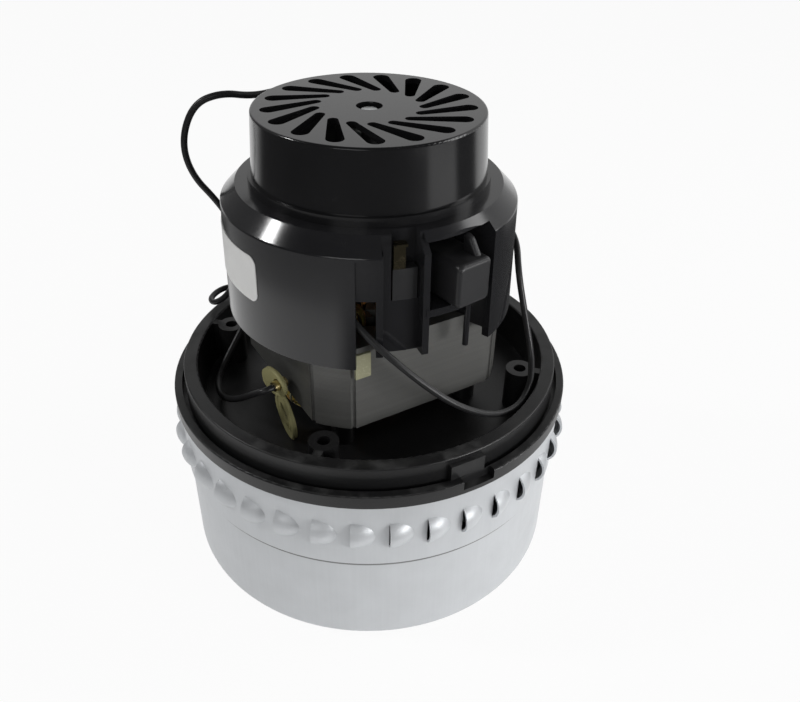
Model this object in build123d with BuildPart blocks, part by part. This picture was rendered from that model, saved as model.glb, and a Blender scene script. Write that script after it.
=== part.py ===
"""Two-stage vacuum motor: fan case, end bracket, universal motor and cooling fan cover.

Millimetres. Z is the motor's axis, upwards, and z = 0 is the face of the fan case that it
stands on. Angles are in degrees about Z, seen from above, and the photographed side is -Y.
"""
import os
from math import cos, degrees, radians, sin, sqrt, tan

from build123d import *

os.makedirs("parts", exist_ok=True)

# Fan case, two drawn cups of thin sheet
CAN_R = 70.8
SHEET = 0.8
CAN_CORNER = 3.0
SEAM_RISE = 5.0
CAN_LAP = 5.0
INLET_R = 24.0
INLET_LIP = 3.2
INLET_CURL = 1.5
LOUVRE_COUNT = 36
LOUVRE_START = 264.7
LOUVRE_RAISE = 13.0
LOUVRE_H = 11.0
LOUVRE_OUT = 2.9
LOUVRE_REACH = 8.2
LOUVRE_OVERTURN = 6.0
LOUVRE_LEAD = 1.0

# End bracket, the black bowl between fan case and motor
FLANGE_OVER = 0.9
FLANGE_T = 5.3
LIP_T = 2.7
GROOVE_W = 1.5
GROOVE_DEPTH = 3.3
RING_WALL = 4.9
RING_H = 12.8
RING_ROUND = 0.6
LIP_ROUND = 0.5
BOWL_DRAFT = 1.2
FLOOR_T = 3.5
FLOOR_DROP = 2.9
SPIGOT_GAP = 0.2
FRAME_ANGLE = 254.3
BOSS_SHIFT = 1.25
BOSS_D = 10.0
BOSS_HOLE_D = 4.4
BOSS_HOLE_DEPTH = 14.0
BOSS_DROP = 0.4
BOSS_RIB_T = 3.0
NOTCH_ANGLE = 298.4
NOTCH_W = 11.6
TAB_ANGLE = 296.0
TAB_W = 12.5
TAB_OUT = 1.6
TAB_DROP = 2.0

# Stator, a stack of square laminations with rounded corners
STACK_RISE = 13.0
STACK_H = 31.5
COIL_SPACE = 5.5
YOKE_T = 5.3
CORNER_T = 14.2
POLE_W = 26.0
SHOE_T = 3.8
SHOE_GAP = 24.0
AIR_GAP = 0.5
STACK_PLAY = 0.3
WELD_R = 0.9
COIL_GAP = 0.3
COIL_END_H = 9.5
COIL_END_OUT = 4.0
COIL_SPAN = 60.0
COIL_END_SPAN = 32.0
COIL_ROUND = 2.0
TAG_W = 5.4
TAG_H = 9.0
TAG_T = 1.0
TAG_DROP = 2.0
TAG_SHIFT = 24.0

# Rotor
ARMATURE_R = 22.1
SLOT_COUNT = 22
SLOT_W = 2.6
SLOT_DEPTH = 9.0
SLOT_FILL_GAP = 0.15
SLOT_FILL_INSET = 1.0
WINDING_H = 7.5
WINDING_INSET = 2.1
WINDING_ROUND = 2.5
WINDING_IN_R = 8.2
WINDING_NECK_R = 13.0
COMM_R = 12.5
COMM_HUB_R = 9.3
COMM_RISE = 3.5
COMM_H = 20.0
RISER_H = 2.2
RISER_OUT = 1.6
BAR_GAP = 0.5
SHAFT_CORE_R = 6.0
SHAFT_COMM_R = 5.0
SHAFT_FAN_R = 4.0
SHAFT_TOP_R = 2.5
SHAFT_TIP = 0.9
SHAFT_END_DROP = 1.0
SHAFT_COLLAR_R = 7.6
SHAFT_COLLAR_H = 3.0

# Lower bearing 12 x 28 x 8 and upper bearing 8 x 22 x 7
LOWER_OD = 28.0
LOWER_W = 8.0
LOWER_RING_T = 2.4
LOWER_BALL_D = 4.76
LOWER_BALLS = 8
UPPER_RISE = 2.0
UPPER_OD = 22.0
UPPER_W = 7.0
UPPER_RING_T = 2.0
UPPER_BALL_D = 3.97
UPPER_BALLS = 7
BALL_PLAY = 0.05
CAGE_GAP = 0.35
CAGE_EXTRA = 1.2
SHIELD_T = 0.3
SHIELD_GAP = 0.3
HUB_GAP = 1.5
HUB_LIP = 2.0
HUB_LIP_IN = 4.5
HUB_WALL = 7.0
HUB_RISE = 1.5
RETAINER_T = 1.2
RETAINER_IN = 2.4
RETAINER_SCREWS = 3
RETAINER_ANGLE = 14.0

# Motor shell, the black cup around the brush gear
SHELL_LAP = 5.0
SHELL_CLEAR = 0.9
SHELL_DRAFT = 0.7
SHELL_T = 2.5
SHOULDER_ROUND = 0.8
LAND_RISE = 5.2
LAND_INSET = 5.8
RIM_T = 1.0
RIM_END = 274.0
PLATE_T = 2.5
WALL_END = 264.8
LEAD_SLOT_END = 272.0
LEAD_SLOT_H = 23.0
RIB_ANGLE = 290.5
RIB_T = 2.2
RIB_INSET = 0.9
RIB_DEPTH = 10.0
WALL_START = 321.0
INSET_DEPTH = 5.5
INSET_RISE = 3.0
WEB_DEPTH = 2.5
WEB_BITE = 1.5
RETURN_T = 2.2
POCKET_FROM = 278.0
POCKET_TO = 289.0
POCKET_SIDE = 3.0
POCKET_DEPTH = 3.4
LEDGE_DROP = 4.5
LEDGE_T = 2.2
BRIDGE_INSET = 4.1
WINDOW_IN = 16.6
WINDOW_EDGE = 1.7
WINDOW_SPAN = 60.0
HUB_DROP = 1.0
SLEEVE_T = 1.4
UPPER_HUB_WALL = 2.8
UPPER_HUB_LIP = 1.6
UPPER_HUB_LIP_IN = 3.4
DECK_T = 2.5
DECK_EDGE = 1.5
LEG_ANGLE = 312.5
LEG_INSET = 4.0
LEG_D = 2.0
LEG_DOWN = 6.0

# Long screws through shell, stator and bracket
SCREW_OUT = 4.1
SCREW_D = 4.0
SCREW_HEAD_D = 6.8
SCREW_HEAD_H = 2.4
SCREW_SLOT = 1.0
SCREW_SINK = 0.4
SCREW_HOLE_GAP = 0.1
SCREW_TIP_RISE = 3.5
COLUMN_D = 8.0
SMALL_SCREW_D = 3.0
SMALL_HEAD_D = 5.0
SMALL_HEAD_H = 1.8
SMALL_SCREW_L = 6.5

# Brush gear
BRUSH_ANGLE = 307.0
BRUSH_W = 6.3
BRUSH_H = 10.0
BRUSH_L = 24.0
BRUSH_GAP = 0.3
BRUSH_SIDE_GAP = 0.1
TUBE_T = 0.5
TUBE_CLEAR = 3.5
BOX_T = 1.7
BOX_SIDE_T = 2.8
BOX_L = 23.5
BOX_OVER = 2.5
BOX_END_T = 2.2
BOX_ROUND = 2.0
BOX_END_ROUND = 1.4
SPRING_D = 5.6
SPRING_WIRE = 0.6
SHUNT_D = 1.2
TERMINAL_OUT = 3.6
TERMINAL_H = 10.5
TERMINAL_PLAY = 0.4
CLIP_W = 3.6
CLIP_SHIFT = -1.8
CLIP_OUT = 2.2
CLIP_T = 0.8
CLIP_RISE = 9.0
CLIP_FOLD = 3.0

# Cooling fan and its cover
COVER_H = 22.8
COVER_INSET = 5.4
COVER_DRAFT = 1.3
COVER_T = 2.0
COVER_STEP = 1.2
COVER_STEP_H = 3.0
COVER_EDGE = 0.8
COVER_HOLE_D = 8.4
SWIRL_COUNT = 17
SWIRL_START = 82.5
SWIRL_SWEEP = 21.0
SWIRL_IN = 17.2
SWIRL_EDGE = 5.8
SWIRL_IN_W = 3.3
SWIRL_OUT_W = 5.5
FAN_GAP = 1.0
FAN_CLEAR = 3.0
FAN_HUB_R = 8.5
FAN_DISC_T = 1.5
FAN_BLADES = 11
FAN_BLADE_T = 1.4
FAN_BLADE_IN = 12.0
FAN_BLADE_TURN = 38.0
FAN_TOP_GAP = 2.2
NUT_H = 3.0
NUT_ACROSS = 13.0
FAN_NECK_R = 6.0
FAN_HUB_DROP = 5.0

# Two-stage impellers and the guide between them
IMPELLER_CLEAR = 7.0
IMPELLER_SHEET = 0.9
IMPELLER_GAP = 11.5
IMPELLER_BLADES = 7
IMPELLER_BLADE_INSET = 2.0
IMPELLER_BLADE_EDGE = 1.5
IMPELLER_BLADE_TURN = 55.0
IMPELLER_1_Z = 7.5
EYE_INSET = 1.0
EYE_LIP = 1.6
SPACER_R = 8.0
WASHER_R = 11.0
WASHER_T = 1.5
IMPELLER_NUT_H = 6.5
IMPELLER_NUT_ACROSS = 13.0
GUIDE_RISE = 2.8
GUIDE_CLEAR = 8.0
GUIDE_BORE_R = 10.0
GUIDE_VANES = 9
GUIDE_VANE_T = 1.0
GUIDE_VANE_IN = 22.0
GUIDE_VANE_TURN = 48.0
GUIDE_H = 9.0
STAGE_RISE = 3.8
STAGE_EYE_R = 21.0
STAGE_RIM_GAP = 0.1
VANE_BOW = 0.62

# Rating label, bare
LABEL_FROM = 170.0
LABEL_TO = 225.2
LABEL_DROP = 7.0
LABEL_H = 15.7
LABEL_T = 0.25
LABEL_ROUND = 3.0

# Leads
LEAD_D = 2.3
BEND_SHARE = 0.45
PLUG_D = 3.6
PLUG_L = 5.0
TIE_ANGLE = 222.0
TIE_OUT = 43.3
TIE_Z = 82.0
TIE_T = 1.2
TIE_W = 13.0
TIE_H = 10.0
TIE_HOLE_D = 4.4
TIE_HOLE_X = 2.5
TIE_HOLE_RISE = 0.4
TIE_LEAF_X = 5.4
TIE_LEAF_DROP = 11.6
TIE_LEAF_L = 18.0
TIE_LEAF_W = 7.6
TIE_LEAF_TURN = 113.0
TIE_SLOT_L = 11.0
TIE_SLOT_W = 2.6

# How far a cut runs past the faces it opens, in length, past the bays and in turn
PAST = 1.0
BAY_PAST = 5.0
TURN_PAST = 1.0
TINY = 0.001

# Heights of the fan stages and the bracket, from the air inlet up
WHEEL_H = IMPELLER_GAP + 2 * IMPELLER_SHEET
BACK_1_TOP = IMPELLER_1_Z + WHEEL_H
GUIDE_Z = BACK_1_TOP + GUIDE_RISE
GUIDE_TOP = GUIDE_Z + IMPELLER_SHEET + GUIDE_H
IMPELLER_2_Z = GUIDE_TOP + IMPELLER_SHEET + STAGE_RISE
BACK_2_TOP = IMPELLER_2_Z + WHEEL_H
SEAM_Z = GUIDE_TOP + SEAM_RISE
LOUVRE_Z = SEAM_Z + LOUVRE_RAISE
HUB_BOTTOM = BACK_2_TOP + HUB_GAP
LOWER_Z = HUB_BOTTOM + HUB_LIP
HUB_TOP = LOWER_Z + LOWER_W
FLOOR_TOP = HUB_TOP - HUB_RISE
FLANGE_Z = FLOOR_TOP + FLOOR_DROP
RING_TOP = FLANGE_Z + RING_H

# Heights of the motor, from the bowl's floor up
STACK_Z = FLOOR_TOP + STACK_RISE
STACK_TOP = STACK_Z + STACK_H
COMM_Z = STACK_TOP + WINDING_H + COMM_RISE
BRUSH_Z = COMM_Z + COMM_H / 2
UPPER_Z = COMM_Z + COMM_H + UPPER_RISE
SHELL_BOTTOM = STACK_TOP - SHELL_LAP
SHOULDER_Z = UPPER_Z
LAND_Z = SHOULDER_Z + LAND_RISE
TOP_Z = LAND_Z + COVER_H

# Radii of the fan case and its wheels
CAN_IN_R = CAN_R - SHEET
UPPER_CAN_R = CAN_R + SHEET
IMPELLER_R = CAN_IN_R - IMPELLER_CLEAR
IMPELLER_EYE_R = INLET_R - EYE_INSET
GUIDE_R = CAN_IN_R - GUIDE_CLEAR
FLANGE_R = UPPER_CAN_R + FLANGE_OVER
LIP_IN_R = FLANGE_R - LIP_T
RING_R = LIP_IN_R - GROOVE_W
RING_IN_R = RING_R - RING_WALL

# Radii of the motor, from the armature out
BORE_R = ARMATURE_R + AIR_GAP
SHOE_R = BORE_R + SHOE_T
STATOR_WINDOW_R = SHOE_R + COIL_SPACE
STATOR_FLAT = STATOR_WINDOW_R + YOKE_T
STATOR_CORNER_R = STATOR_WINDOW_R + CORNER_T
SCREW_PITCH_R = STATOR_WINDOW_R + SCREW_OUT
WINDING_R = ARMATURE_R - WINDING_INSET
SHELL_R = STATOR_CORNER_R + SHELL_CLEAR + SHELL_T
BOSS_R = (STATOR_CORNER_R + RING_IN_R) / 2 + BOSS_SHIFT
INSET_R = SHELL_R - INSET_DEPTH
POCKET_R = INSET_R - POCKET_DEPTH
BOX_OUT = SHELL_R + BOX_OVER
BOX_IN = BOX_OUT - BOX_L
LAND_R = SHELL_R - LAND_INSET
COVER_BASE_R = LAND_R - COVER_INSET
COVER_TOP_R = COVER_BASE_R - COVER_DRAFT
FAN_R = COVER_TOP_R - COVER_T - FAN_CLEAR


def level(z, turn=0.0):
    """Horizontal plane at a height, its X axis turned about the motor's axis."""
    heading = (cos(radians(turn)), sin(radians(turn)), 0)
    return Plane(origin=(0, 0, z), x_dir=heading, z_dir=(0, 0, 1))


def facing(turn, out=0.0, z=0.0):
    """Upright plane that faces outward: its X runs anticlockwise and its Y runs up."""
    outward = (cos(radians(turn)), sin(radians(turn)), 0)
    along = (-sin(radians(turn)), cos(radians(turn)), 0)
    return Plane(origin=(out * outward[0], out * outward[1], z), x_dir=along, z_dir=outward)


def polar(radius, turn):
    """Point in a plane at a radius and an angle."""
    return (radius * cos(radians(turn)), radius * sin(radians(turn)))


def turned(corners):
    """Piece turned about the motor's axis from its (radius, height) corners."""
    with BuildPart() as piece:
        with BuildSketch(Plane.XZ):
            with BuildLine():
                Polyline(*corners, close=True)
            make_face()
        revolve(axis=Axis.Z)
    return piece.part


def sector(r_in, r_out, low, high, turn_from, turn_to):
    """Block between two radii, two heights and two angles."""
    with BuildPart() as piece:
        with BuildSketch(Plane.XZ.rotated((0, 0, turn_from))):
            with BuildLine():
                Polyline((r_in, low), (r_out, low), (r_out, high), (r_in, high), close=True)
            make_face()
        revolve(axis=Axis.Z, revolution_arc=turn_to - turn_from)
    return piece.part


def rims(piece, radius, height):
    """Round edges of a piece at a radius and a height."""
    round_edges = piece.edges().filter_by(GeomType.CIRCLE)
    at_radius = round_edges.filter_by(lambda edge: abs(edge.radius - radius) < TINY)
    return at_radius.filter_by(lambda edge: abs(edge.arc_center.Z - height) < TINY)


def vane(r_in, r_out, turn, sweep, thickness):
    """Curved blade outline in the sketch being drawn."""
    bow = polar((r_in + r_out) / 2, turn + VANE_BOW * sweep)
    path = Edge.make_three_point_arc(polar(r_in, turn), bow, polar(r_out, turn + sweep))
    SlotArc(path, thickness)


def keep(piece, name):
    """Label a finished piece and write its file."""
    piece.label = name
    export_step(piece, f"parts/{name}.step")


# Lower cup of the fan case, with the air inlet in its floor
CAN_TOP = SEAM_Z + CAN_LAP
with BuildPart() as fan_shell_lower:
    with BuildSketch(Plane.XZ):
        with BuildLine():
            Polyline(
                (INLET_R, 0),
                (CAN_R, 0),
                (CAN_R, CAN_TOP),
                (CAN_IN_R, CAN_TOP),
                (CAN_IN_R, SHEET),
                (INLET_R + SHEET, SHEET),
                (INLET_R + SHEET, INLET_LIP),
                (INLET_R, INLET_LIP),
                close=True,
            )
        make_face()
    revolve(axis=Axis.Z)
    fillet(rims(fan_shell_lower, CAN_R, 0), radius=CAN_CORNER)
    fillet(rims(fan_shell_lower, CAN_IN_R, SHEET), radius=CAN_CORNER - SHEET)
    fillet(rims(fan_shell_lower, INLET_R, 0), radius=INLET_CURL)
keep(fan_shell_lower.part, "fan_shell_lower")

# Upper can with its ring of louvres, lapped over the lower cup
LOUVRE_PITCH = 360 / LOUVRE_COUNT
LOUVRE_RISE = LOUVRE_OUT + SHEET
LOUVRE_SWING = (LOUVRE_REACH**2 + LOUVRE_RISE**2) / (2 * LOUVRE_RISE)
LOUVRE_BULGE = ((LOUVRE_H / 2) ** 2 + LOUVRE_OUT**2) / (2 * LOUVRE_OUT)
LOUVRE_TURN = degrees(LOUVRE_REACH / LOUVRE_SWING) + LOUVRE_OVERTURN


def louvre(turn, shrink, start, sink):
    """Scoop turned about its own upright hinge line just inside the can."""
    hinge = UPPER_CAN_R + LOUVRE_OUT - LOUVRE_SWING
    round_r = LOUVRE_BULGE - shrink
    centre = LOUVRE_SWING - LOUVRE_BULGE
    root = LOUVRE_SWING - LOUVRE_OUT - sink
    half = sqrt(round_r**2 - (root - centre) ** 2)
    plane = Plane(
        origin=(*polar(hinge, turn), LOUVRE_Z),
        x_dir=(*polar(1, turn + start), 0),
        z_dir=(*polar(1, turn + start - 90), 0),
    )
    with BuildPart() as scoop:
        with BuildSketch(plane):
            with BuildLine():
                ThreePointArc((root, -half), (centre + round_r, 0), (root, half))
                Line((root, half), (root, -half))
            make_face()
        revolve(axis=Axis((*polar(hinge, turn), 0), (0, 0, 1)), revolution_arc=LOUVRE_TURN)
    return scoop.part


SEAM_TURN = LOUVRE_START - LOUVRE_PITCH / 8
with BuildPart() as fan_shell_upper:
    with BuildSketch(level(SEAM_Z, SEAM_TURN)):
        Circle(UPPER_CAN_R)
    extrude(amount=FLANGE_Z - SEAM_Z)
    for place in range(LOUVRE_COUNT):
        add(louvre(LOUVRE_START + place * LOUVRE_PITCH, 0, 0, SHEET / 2))
    with BuildSketch(level(SEAM_Z, SEAM_TURN)):
        Circle(CAN_R)
    extrude(amount=FLANGE_Z - SEAM_Z, mode=Mode.SUBTRACT)
    for place in range(LOUVRE_COUNT):
        cut = louvre(LOUVRE_START + place * LOUVRE_PITCH, SHEET, -LOUVRE_LEAD, 3 * SHEET)
        add(cut, mode=Mode.SUBTRACT)
keep(fan_shell_upper.part, "fan_shell_upper")

# End bracket: bowl, bearing hub, bosses and the posts under the stator
FLOOR_LOW = FLOOR_TOP - FLOOR_T
FLOOR_MID = FLOOR_TOP - FLOOR_T / 2
LOWER_R = LOWER_OD / 2
HUB_R = LOWER_R + HUB_WALL
SPIGOT_R = CAN_R - SPIGOT_GAP
LIP_TOP = FLANGE_Z + FLANGE_T
GROOVE_Z = LIP_TOP - GROOVE_DEPTH
SCREW_HOLE_R = SCREW_D / 2 + SCREW_HOLE_GAP
SMALL_HOLE_R = SMALL_SCREW_D / 2 + SCREW_HOLE_GAP
RETAINER_SCREW_R = (LOWER_R + HUB_R) / 2
SCREW_TIP = FLOOR_TOP + SCREW_TIP_RISE
TAB_TOP = RING_TOP - TAB_DROP
with BuildPart() as end_bracket:
    with BuildSketch(Plane.XZ):
        with BuildLine():
            Polyline(
                (LOWER_R - HUB_LIP_IN, HUB_BOTTOM),
                (HUB_R, HUB_BOTTOM),
                (HUB_R, FLOOR_LOW),
                (SPIGOT_R, FLOOR_LOW),
                (SPIGOT_R, FLANGE_Z),
                (FLANGE_R, FLANGE_Z),
                (FLANGE_R, LIP_TOP),
                (LIP_IN_R, LIP_TOP),
                (LIP_IN_R, GROOVE_Z),
                (RING_R, GROOVE_Z),
                (RING_R, RING_TOP),
                (RING_IN_R, RING_TOP),
                (RING_IN_R - BOWL_DRAFT, FLOOR_TOP),
                (HUB_R, FLOOR_TOP),
                (HUB_R, HUB_TOP),
                (LOWER_R, HUB_TOP),
                (LOWER_R, LOWER_Z),
                (LOWER_R - HUB_LIP_IN, LOWER_Z),
                close=True,
            )
        make_face()
    revolve(axis=Axis.Z)
    fillet(rims(end_bracket, RING_R, RING_TOP), radius=RING_ROUND)
    fillet(rims(end_bracket, RING_IN_R, RING_TOP), radius=RING_ROUND)
    fillet(rims(end_bracket, FLANGE_R, LIP_TOP), radius=LIP_ROUND)
    fillet(rims(end_bracket, FLANGE_R, FLANGE_Z), radius=LIP_ROUND)
    with BuildSketch(level(FLOOR_MID, FRAME_ANGLE)):
        with PolarLocations(BOSS_R, 4):
            Circle(BOSS_D / 2)
            Rectangle(RING_IN_R - BOSS_R + PAST, BOSS_RIB_T, align=(Align.MIN, Align.CENTER))
    extrude(amount=RING_TOP - BOSS_DROP - FLOOR_MID)
    with BuildSketch(level(RING_TOP - BOSS_DROP, FRAME_ANGLE)):
        with PolarLocations(BOSS_R, 4):
            Circle(BOSS_HOLE_D / 2)
    extrude(amount=-BOSS_HOLE_DEPTH, mode=Mode.SUBTRACT)
    with BuildSketch(level(FLOOR_MID, FRAME_ANGLE)):
        with PolarLocations(SCREW_PITCH_R, 4):
            Circle(COLUMN_D / 2)
    extrude(amount=STACK_Z - FLOOR_MID)
    with BuildSketch(level(STACK_Z, FRAME_ANGLE)):
        with PolarLocations(SCREW_PITCH_R, 4):
            Circle(SCREW_HOLE_R)
    extrude(amount=SCREW_TIP - STACK_Z - PAST, mode=Mode.SUBTRACT)
    with BuildSketch(level(HUB_TOP, RETAINER_ANGLE)):
        with PolarLocations(RETAINER_SCREW_R, RETAINER_SCREWS):
            Circle(SMALL_HOLE_R)
    extrude(amount=-SMALL_SCREW_L - PAST, mode=Mode.SUBTRACT)
    tab_low = FLANGE_Z + FLANGE_T / 4
    with BuildSketch(facing(TAB_ANGLE, RING_R - RING_WALL / 2, tab_low)):
        Rectangle(TAB_W, TAB_TOP - tab_low, align=(Align.CENTER, Align.MIN))
    extrude(amount=RING_WALL / 2 + TAB_OUT)
    with BuildSketch(facing(NOTCH_ANGLE, RING_R + TAB_OUT, GROOVE_Z)):
        Rectangle(NOTCH_W, RING_TOP - GROOVE_Z, align=(Align.CENTER, Align.MIN))
    extrude(amount=FLANGE_R, mode=Mode.SUBTRACT)
keep(end_bracket.part, "end_bracket")

# Stator laminations
POLE_ANGLE = FRAME_ANGLE - 45
FLAT_HALF = sqrt(STATOR_CORNER_R**2 - STATOR_FLAT**2)
with BuildSketch(level(STACK_Z, POLE_ANGLE)) as pole_shoes:
    Circle(SHOE_R)
    Rectangle(SHOE_GAP, 3 * SHOE_R, mode=Mode.SUBTRACT)
with BuildPart() as stator_core:
    with BuildSketch(level(STACK_Z, POLE_ANGLE)):
        Circle(STATOR_CORNER_R)
        Rectangle(2 * STATOR_FLAT, 2 * STATOR_FLAT, mode=Mode.INTERSECT)
        Circle(STATOR_WINDOW_R, mode=Mode.SUBTRACT)
        Rectangle(2 * STATOR_WINDOW_R + PAST, POLE_W)
        add(pole_shoes.sketch_local)
        Circle(BORE_R, mode=Mode.SUBTRACT)
        with PolarLocations(SCREW_PITCH_R, 4, start_angle=45):
            Circle(SCREW_HOLE_R, mode=Mode.SUBTRACT)
        for quarter in range(4):
            with PolarLocations(0, 1, start_angle=90 * quarter):
                with Locations((STATOR_FLAT, FLAT_HALF), (STATOR_FLAT, -FLAT_HALF)):
                    Circle(WELD_R, mode=Mode.SUBTRACT)
    extrude(amount=STACK_H)
keep(stator_core.part, "stator_core")

# Field coils, one round each pole, their ends bulging past the stack
COIL_IN_R = SHOE_R + COIL_GAP
COIL_OUT_R = STATOR_WINDOW_R - COIL_GAP
COIL_LOW = STACK_Z - COIL_END_H
COIL_HIGH = STACK_TOP + COIL_END_H
COIL_BULGE_R = STATOR_WINDOW_R + COIL_END_OUT


def field_coil(turn):
    """Coil saddle round the pole at an angle."""
    with BuildPart() as coil:
        add(sector(COIL_IN_R, COIL_OUT_R, COIL_LOW, COIL_HIGH, turn - COIL_SPAN, turn + COIL_SPAN))
        for low, high in ((COIL_LOW, STACK_Z - COIL_GAP), (STACK_TOP + COIL_GAP, COIL_HIGH)):
            end_from = turn - COIL_END_SPAN
            add(sector(COIL_IN_R, COIL_BULGE_R, low, high, end_from, turn + COIL_END_SPAN))
        with BuildSketch(facing(turn, 0, STACK_Z - COIL_GAP)):
            window_w = POLE_W + 2 * COIL_GAP
            Rectangle(window_w, STACK_H + 2 * COIL_GAP, align=(Align.CENTER, Align.MIN))
        extrude(amount=2 * STATOR_WINDOW_R, mode=Mode.SUBTRACT)
        fillet(rims(coil, COIL_BULGE_R, COIL_LOW), radius=COIL_ROUND)
        fillet(rims(coil, COIL_BULGE_R, COIL_HIGH), radius=COIL_ROUND)
    return coil.part


keep(field_coil(POLE_ANGLE), "field_coil_left")
keep(field_coil(POLE_ANGLE + 180), "field_coil_right")

# Insulating tags folded over the stack's edge on the two brush faces
with BuildPart() as insulation_tags:
    for side in (0, 180):
        tag_low = STACK_TOP - TAG_DROP - TAG_H
        with BuildSketch(facing(FRAME_ANGLE + 45 + side, STATOR_FLAT, tag_low)):
            with Locations((-TAG_SHIFT, 0)):
                Rectangle(TAG_W, TAG_H, align=(Align.CENTER, Align.MIN))
        extrude(amount=TAG_T)
keep(insulation_tags.part, "insulation_tags")

# Shaft, from the impeller thread up to the tip under the cover's hole
COLLAR_TOP = HUB_TOP + SHAFT_COLLAR_H
UPPER_TOP = UPPER_Z + UPPER_W
COVER_UNDER = TOP_Z - COVER_T
FAN_TOP = COVER_UNDER - FAN_TOP_GAP
FAN_HUB_TOP = FAN_TOP - FAN_HUB_DROP
WASHER_Z = BACK_1_TOP - IMPELLER_SHEET - WASHER_T
IMPELLER_NUT_Z = WASHER_Z - IMPELLER_NUT_H
SHAFT_BOTTOM = IMPELLER_NUT_Z - SHAFT_TIP
shaft = turned(
    [
        (0, SHAFT_BOTTOM),
        (SHAFT_FAN_R, SHAFT_BOTTOM),
        (SHAFT_FAN_R, LOWER_Z),
        (SHAFT_CORE_R, LOWER_Z),
        (SHAFT_CORE_R, HUB_TOP),
        (SHAFT_COLLAR_R, HUB_TOP),
        (SHAFT_COLLAR_R, COLLAR_TOP),
        (SHAFT_CORE_R, COLLAR_TOP),
        (SHAFT_CORE_R, COMM_Z),
        (SHAFT_COMM_R, COMM_Z),
        (SHAFT_COMM_R, UPPER_Z),
        (SHAFT_FAN_R, UPPER_Z),
        (SHAFT_FAN_R, FAN_HUB_TOP + NUT_H),
        (SHAFT_TOP_R, FAN_HUB_TOP + NUT_H),
        (SHAFT_TOP_R, TOP_Z - SHAFT_END_DROP),
        (0, TOP_Z - SHAFT_END_DROP),
    ]
)
keep(shaft, "shaft")

# Armature laminations with their winding slots
with BuildPart() as armature_core:
    with BuildSketch(level(STACK_Z)):
        Circle(ARMATURE_R)
        Circle(SHAFT_CORE_R, mode=Mode.SUBTRACT)
        with PolarLocations(ARMATURE_R, SLOT_COUNT):
            Rectangle(2 * SLOT_DEPTH, SLOT_W, mode=Mode.SUBTRACT)
    extrude(amount=STACK_H)
keep(armature_core.part, "armature_core")

# Armature winding: end turns, slot fillings and the neck that runs up to the risers
WINDING_LOW = STACK_Z - WINDING_H
WINDING_HIGH = STACK_TOP + WINDING_H
SLOT_FLOOR_R = ARMATURE_R - SLOT_DEPTH + SLOT_FILL_GAP
with BuildPart() as armature_winding:
    for low in (WINDING_LOW, STACK_TOP):
        with BuildSketch(level(low)):
            Circle(WINDING_R)
            Circle(WINDING_IN_R, mode=Mode.SUBTRACT)
        extrude(amount=WINDING_H)
    fillet(rims(armature_winding, WINDING_R, WINDING_LOW), radius=WINDING_ROUND)
    fillet(rims(armature_winding, WINDING_R, WINDING_HIGH), radius=WINDING_ROUND)
    with BuildSketch(level(STACK_Z)):
        with PolarLocations(SLOT_FLOOR_R, SLOT_COUNT):
            fill_w = SLOT_W - 2 * SLOT_FILL_GAP
            fill_h = WINDING_R - SLOT_FLOOR_R - SLOT_FILL_INSET
            Rectangle(fill_h, fill_w, align=(Align.MIN, Align.CENTER))
    extrude(amount=STACK_H)
    with BuildSketch(level(WINDING_HIGH - WINDING_H / 2)):
        Circle(WINDING_NECK_R)
        Circle(WINDING_IN_R, mode=Mode.SUBTRACT)
    extrude(amount=COMM_Z - WINDING_HIGH + WINDING_H / 2)
keep(armature_winding.part, "armature_winding")

# Commutator
commutator_hub = turned(
    [
        (SHAFT_COMM_R, COMM_Z),
        (COMM_HUB_R, COMM_Z),
        (COMM_HUB_R, COMM_Z + COMM_H),
        (SHAFT_COMM_R, COMM_Z + COMM_H),
    ]
)
keep(commutator_hub, "commutator_hub")
with BuildPart() as commutator_bars:
    for outer, height in ((COMM_R, COMM_H), (COMM_R + RISER_OUT, RISER_H)):
        with BuildSketch(level(COMM_Z)):
            Circle(outer)
            Circle(COMM_HUB_R, mode=Mode.SUBTRACT)
            with PolarLocations(COMM_R, SLOT_COUNT):
                Rectangle(COMM_R, BAR_GAP, mode=Mode.SUBTRACT)
        extrude(amount=height)
keep(commutator_bars.part, "commutator_bars")


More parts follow.
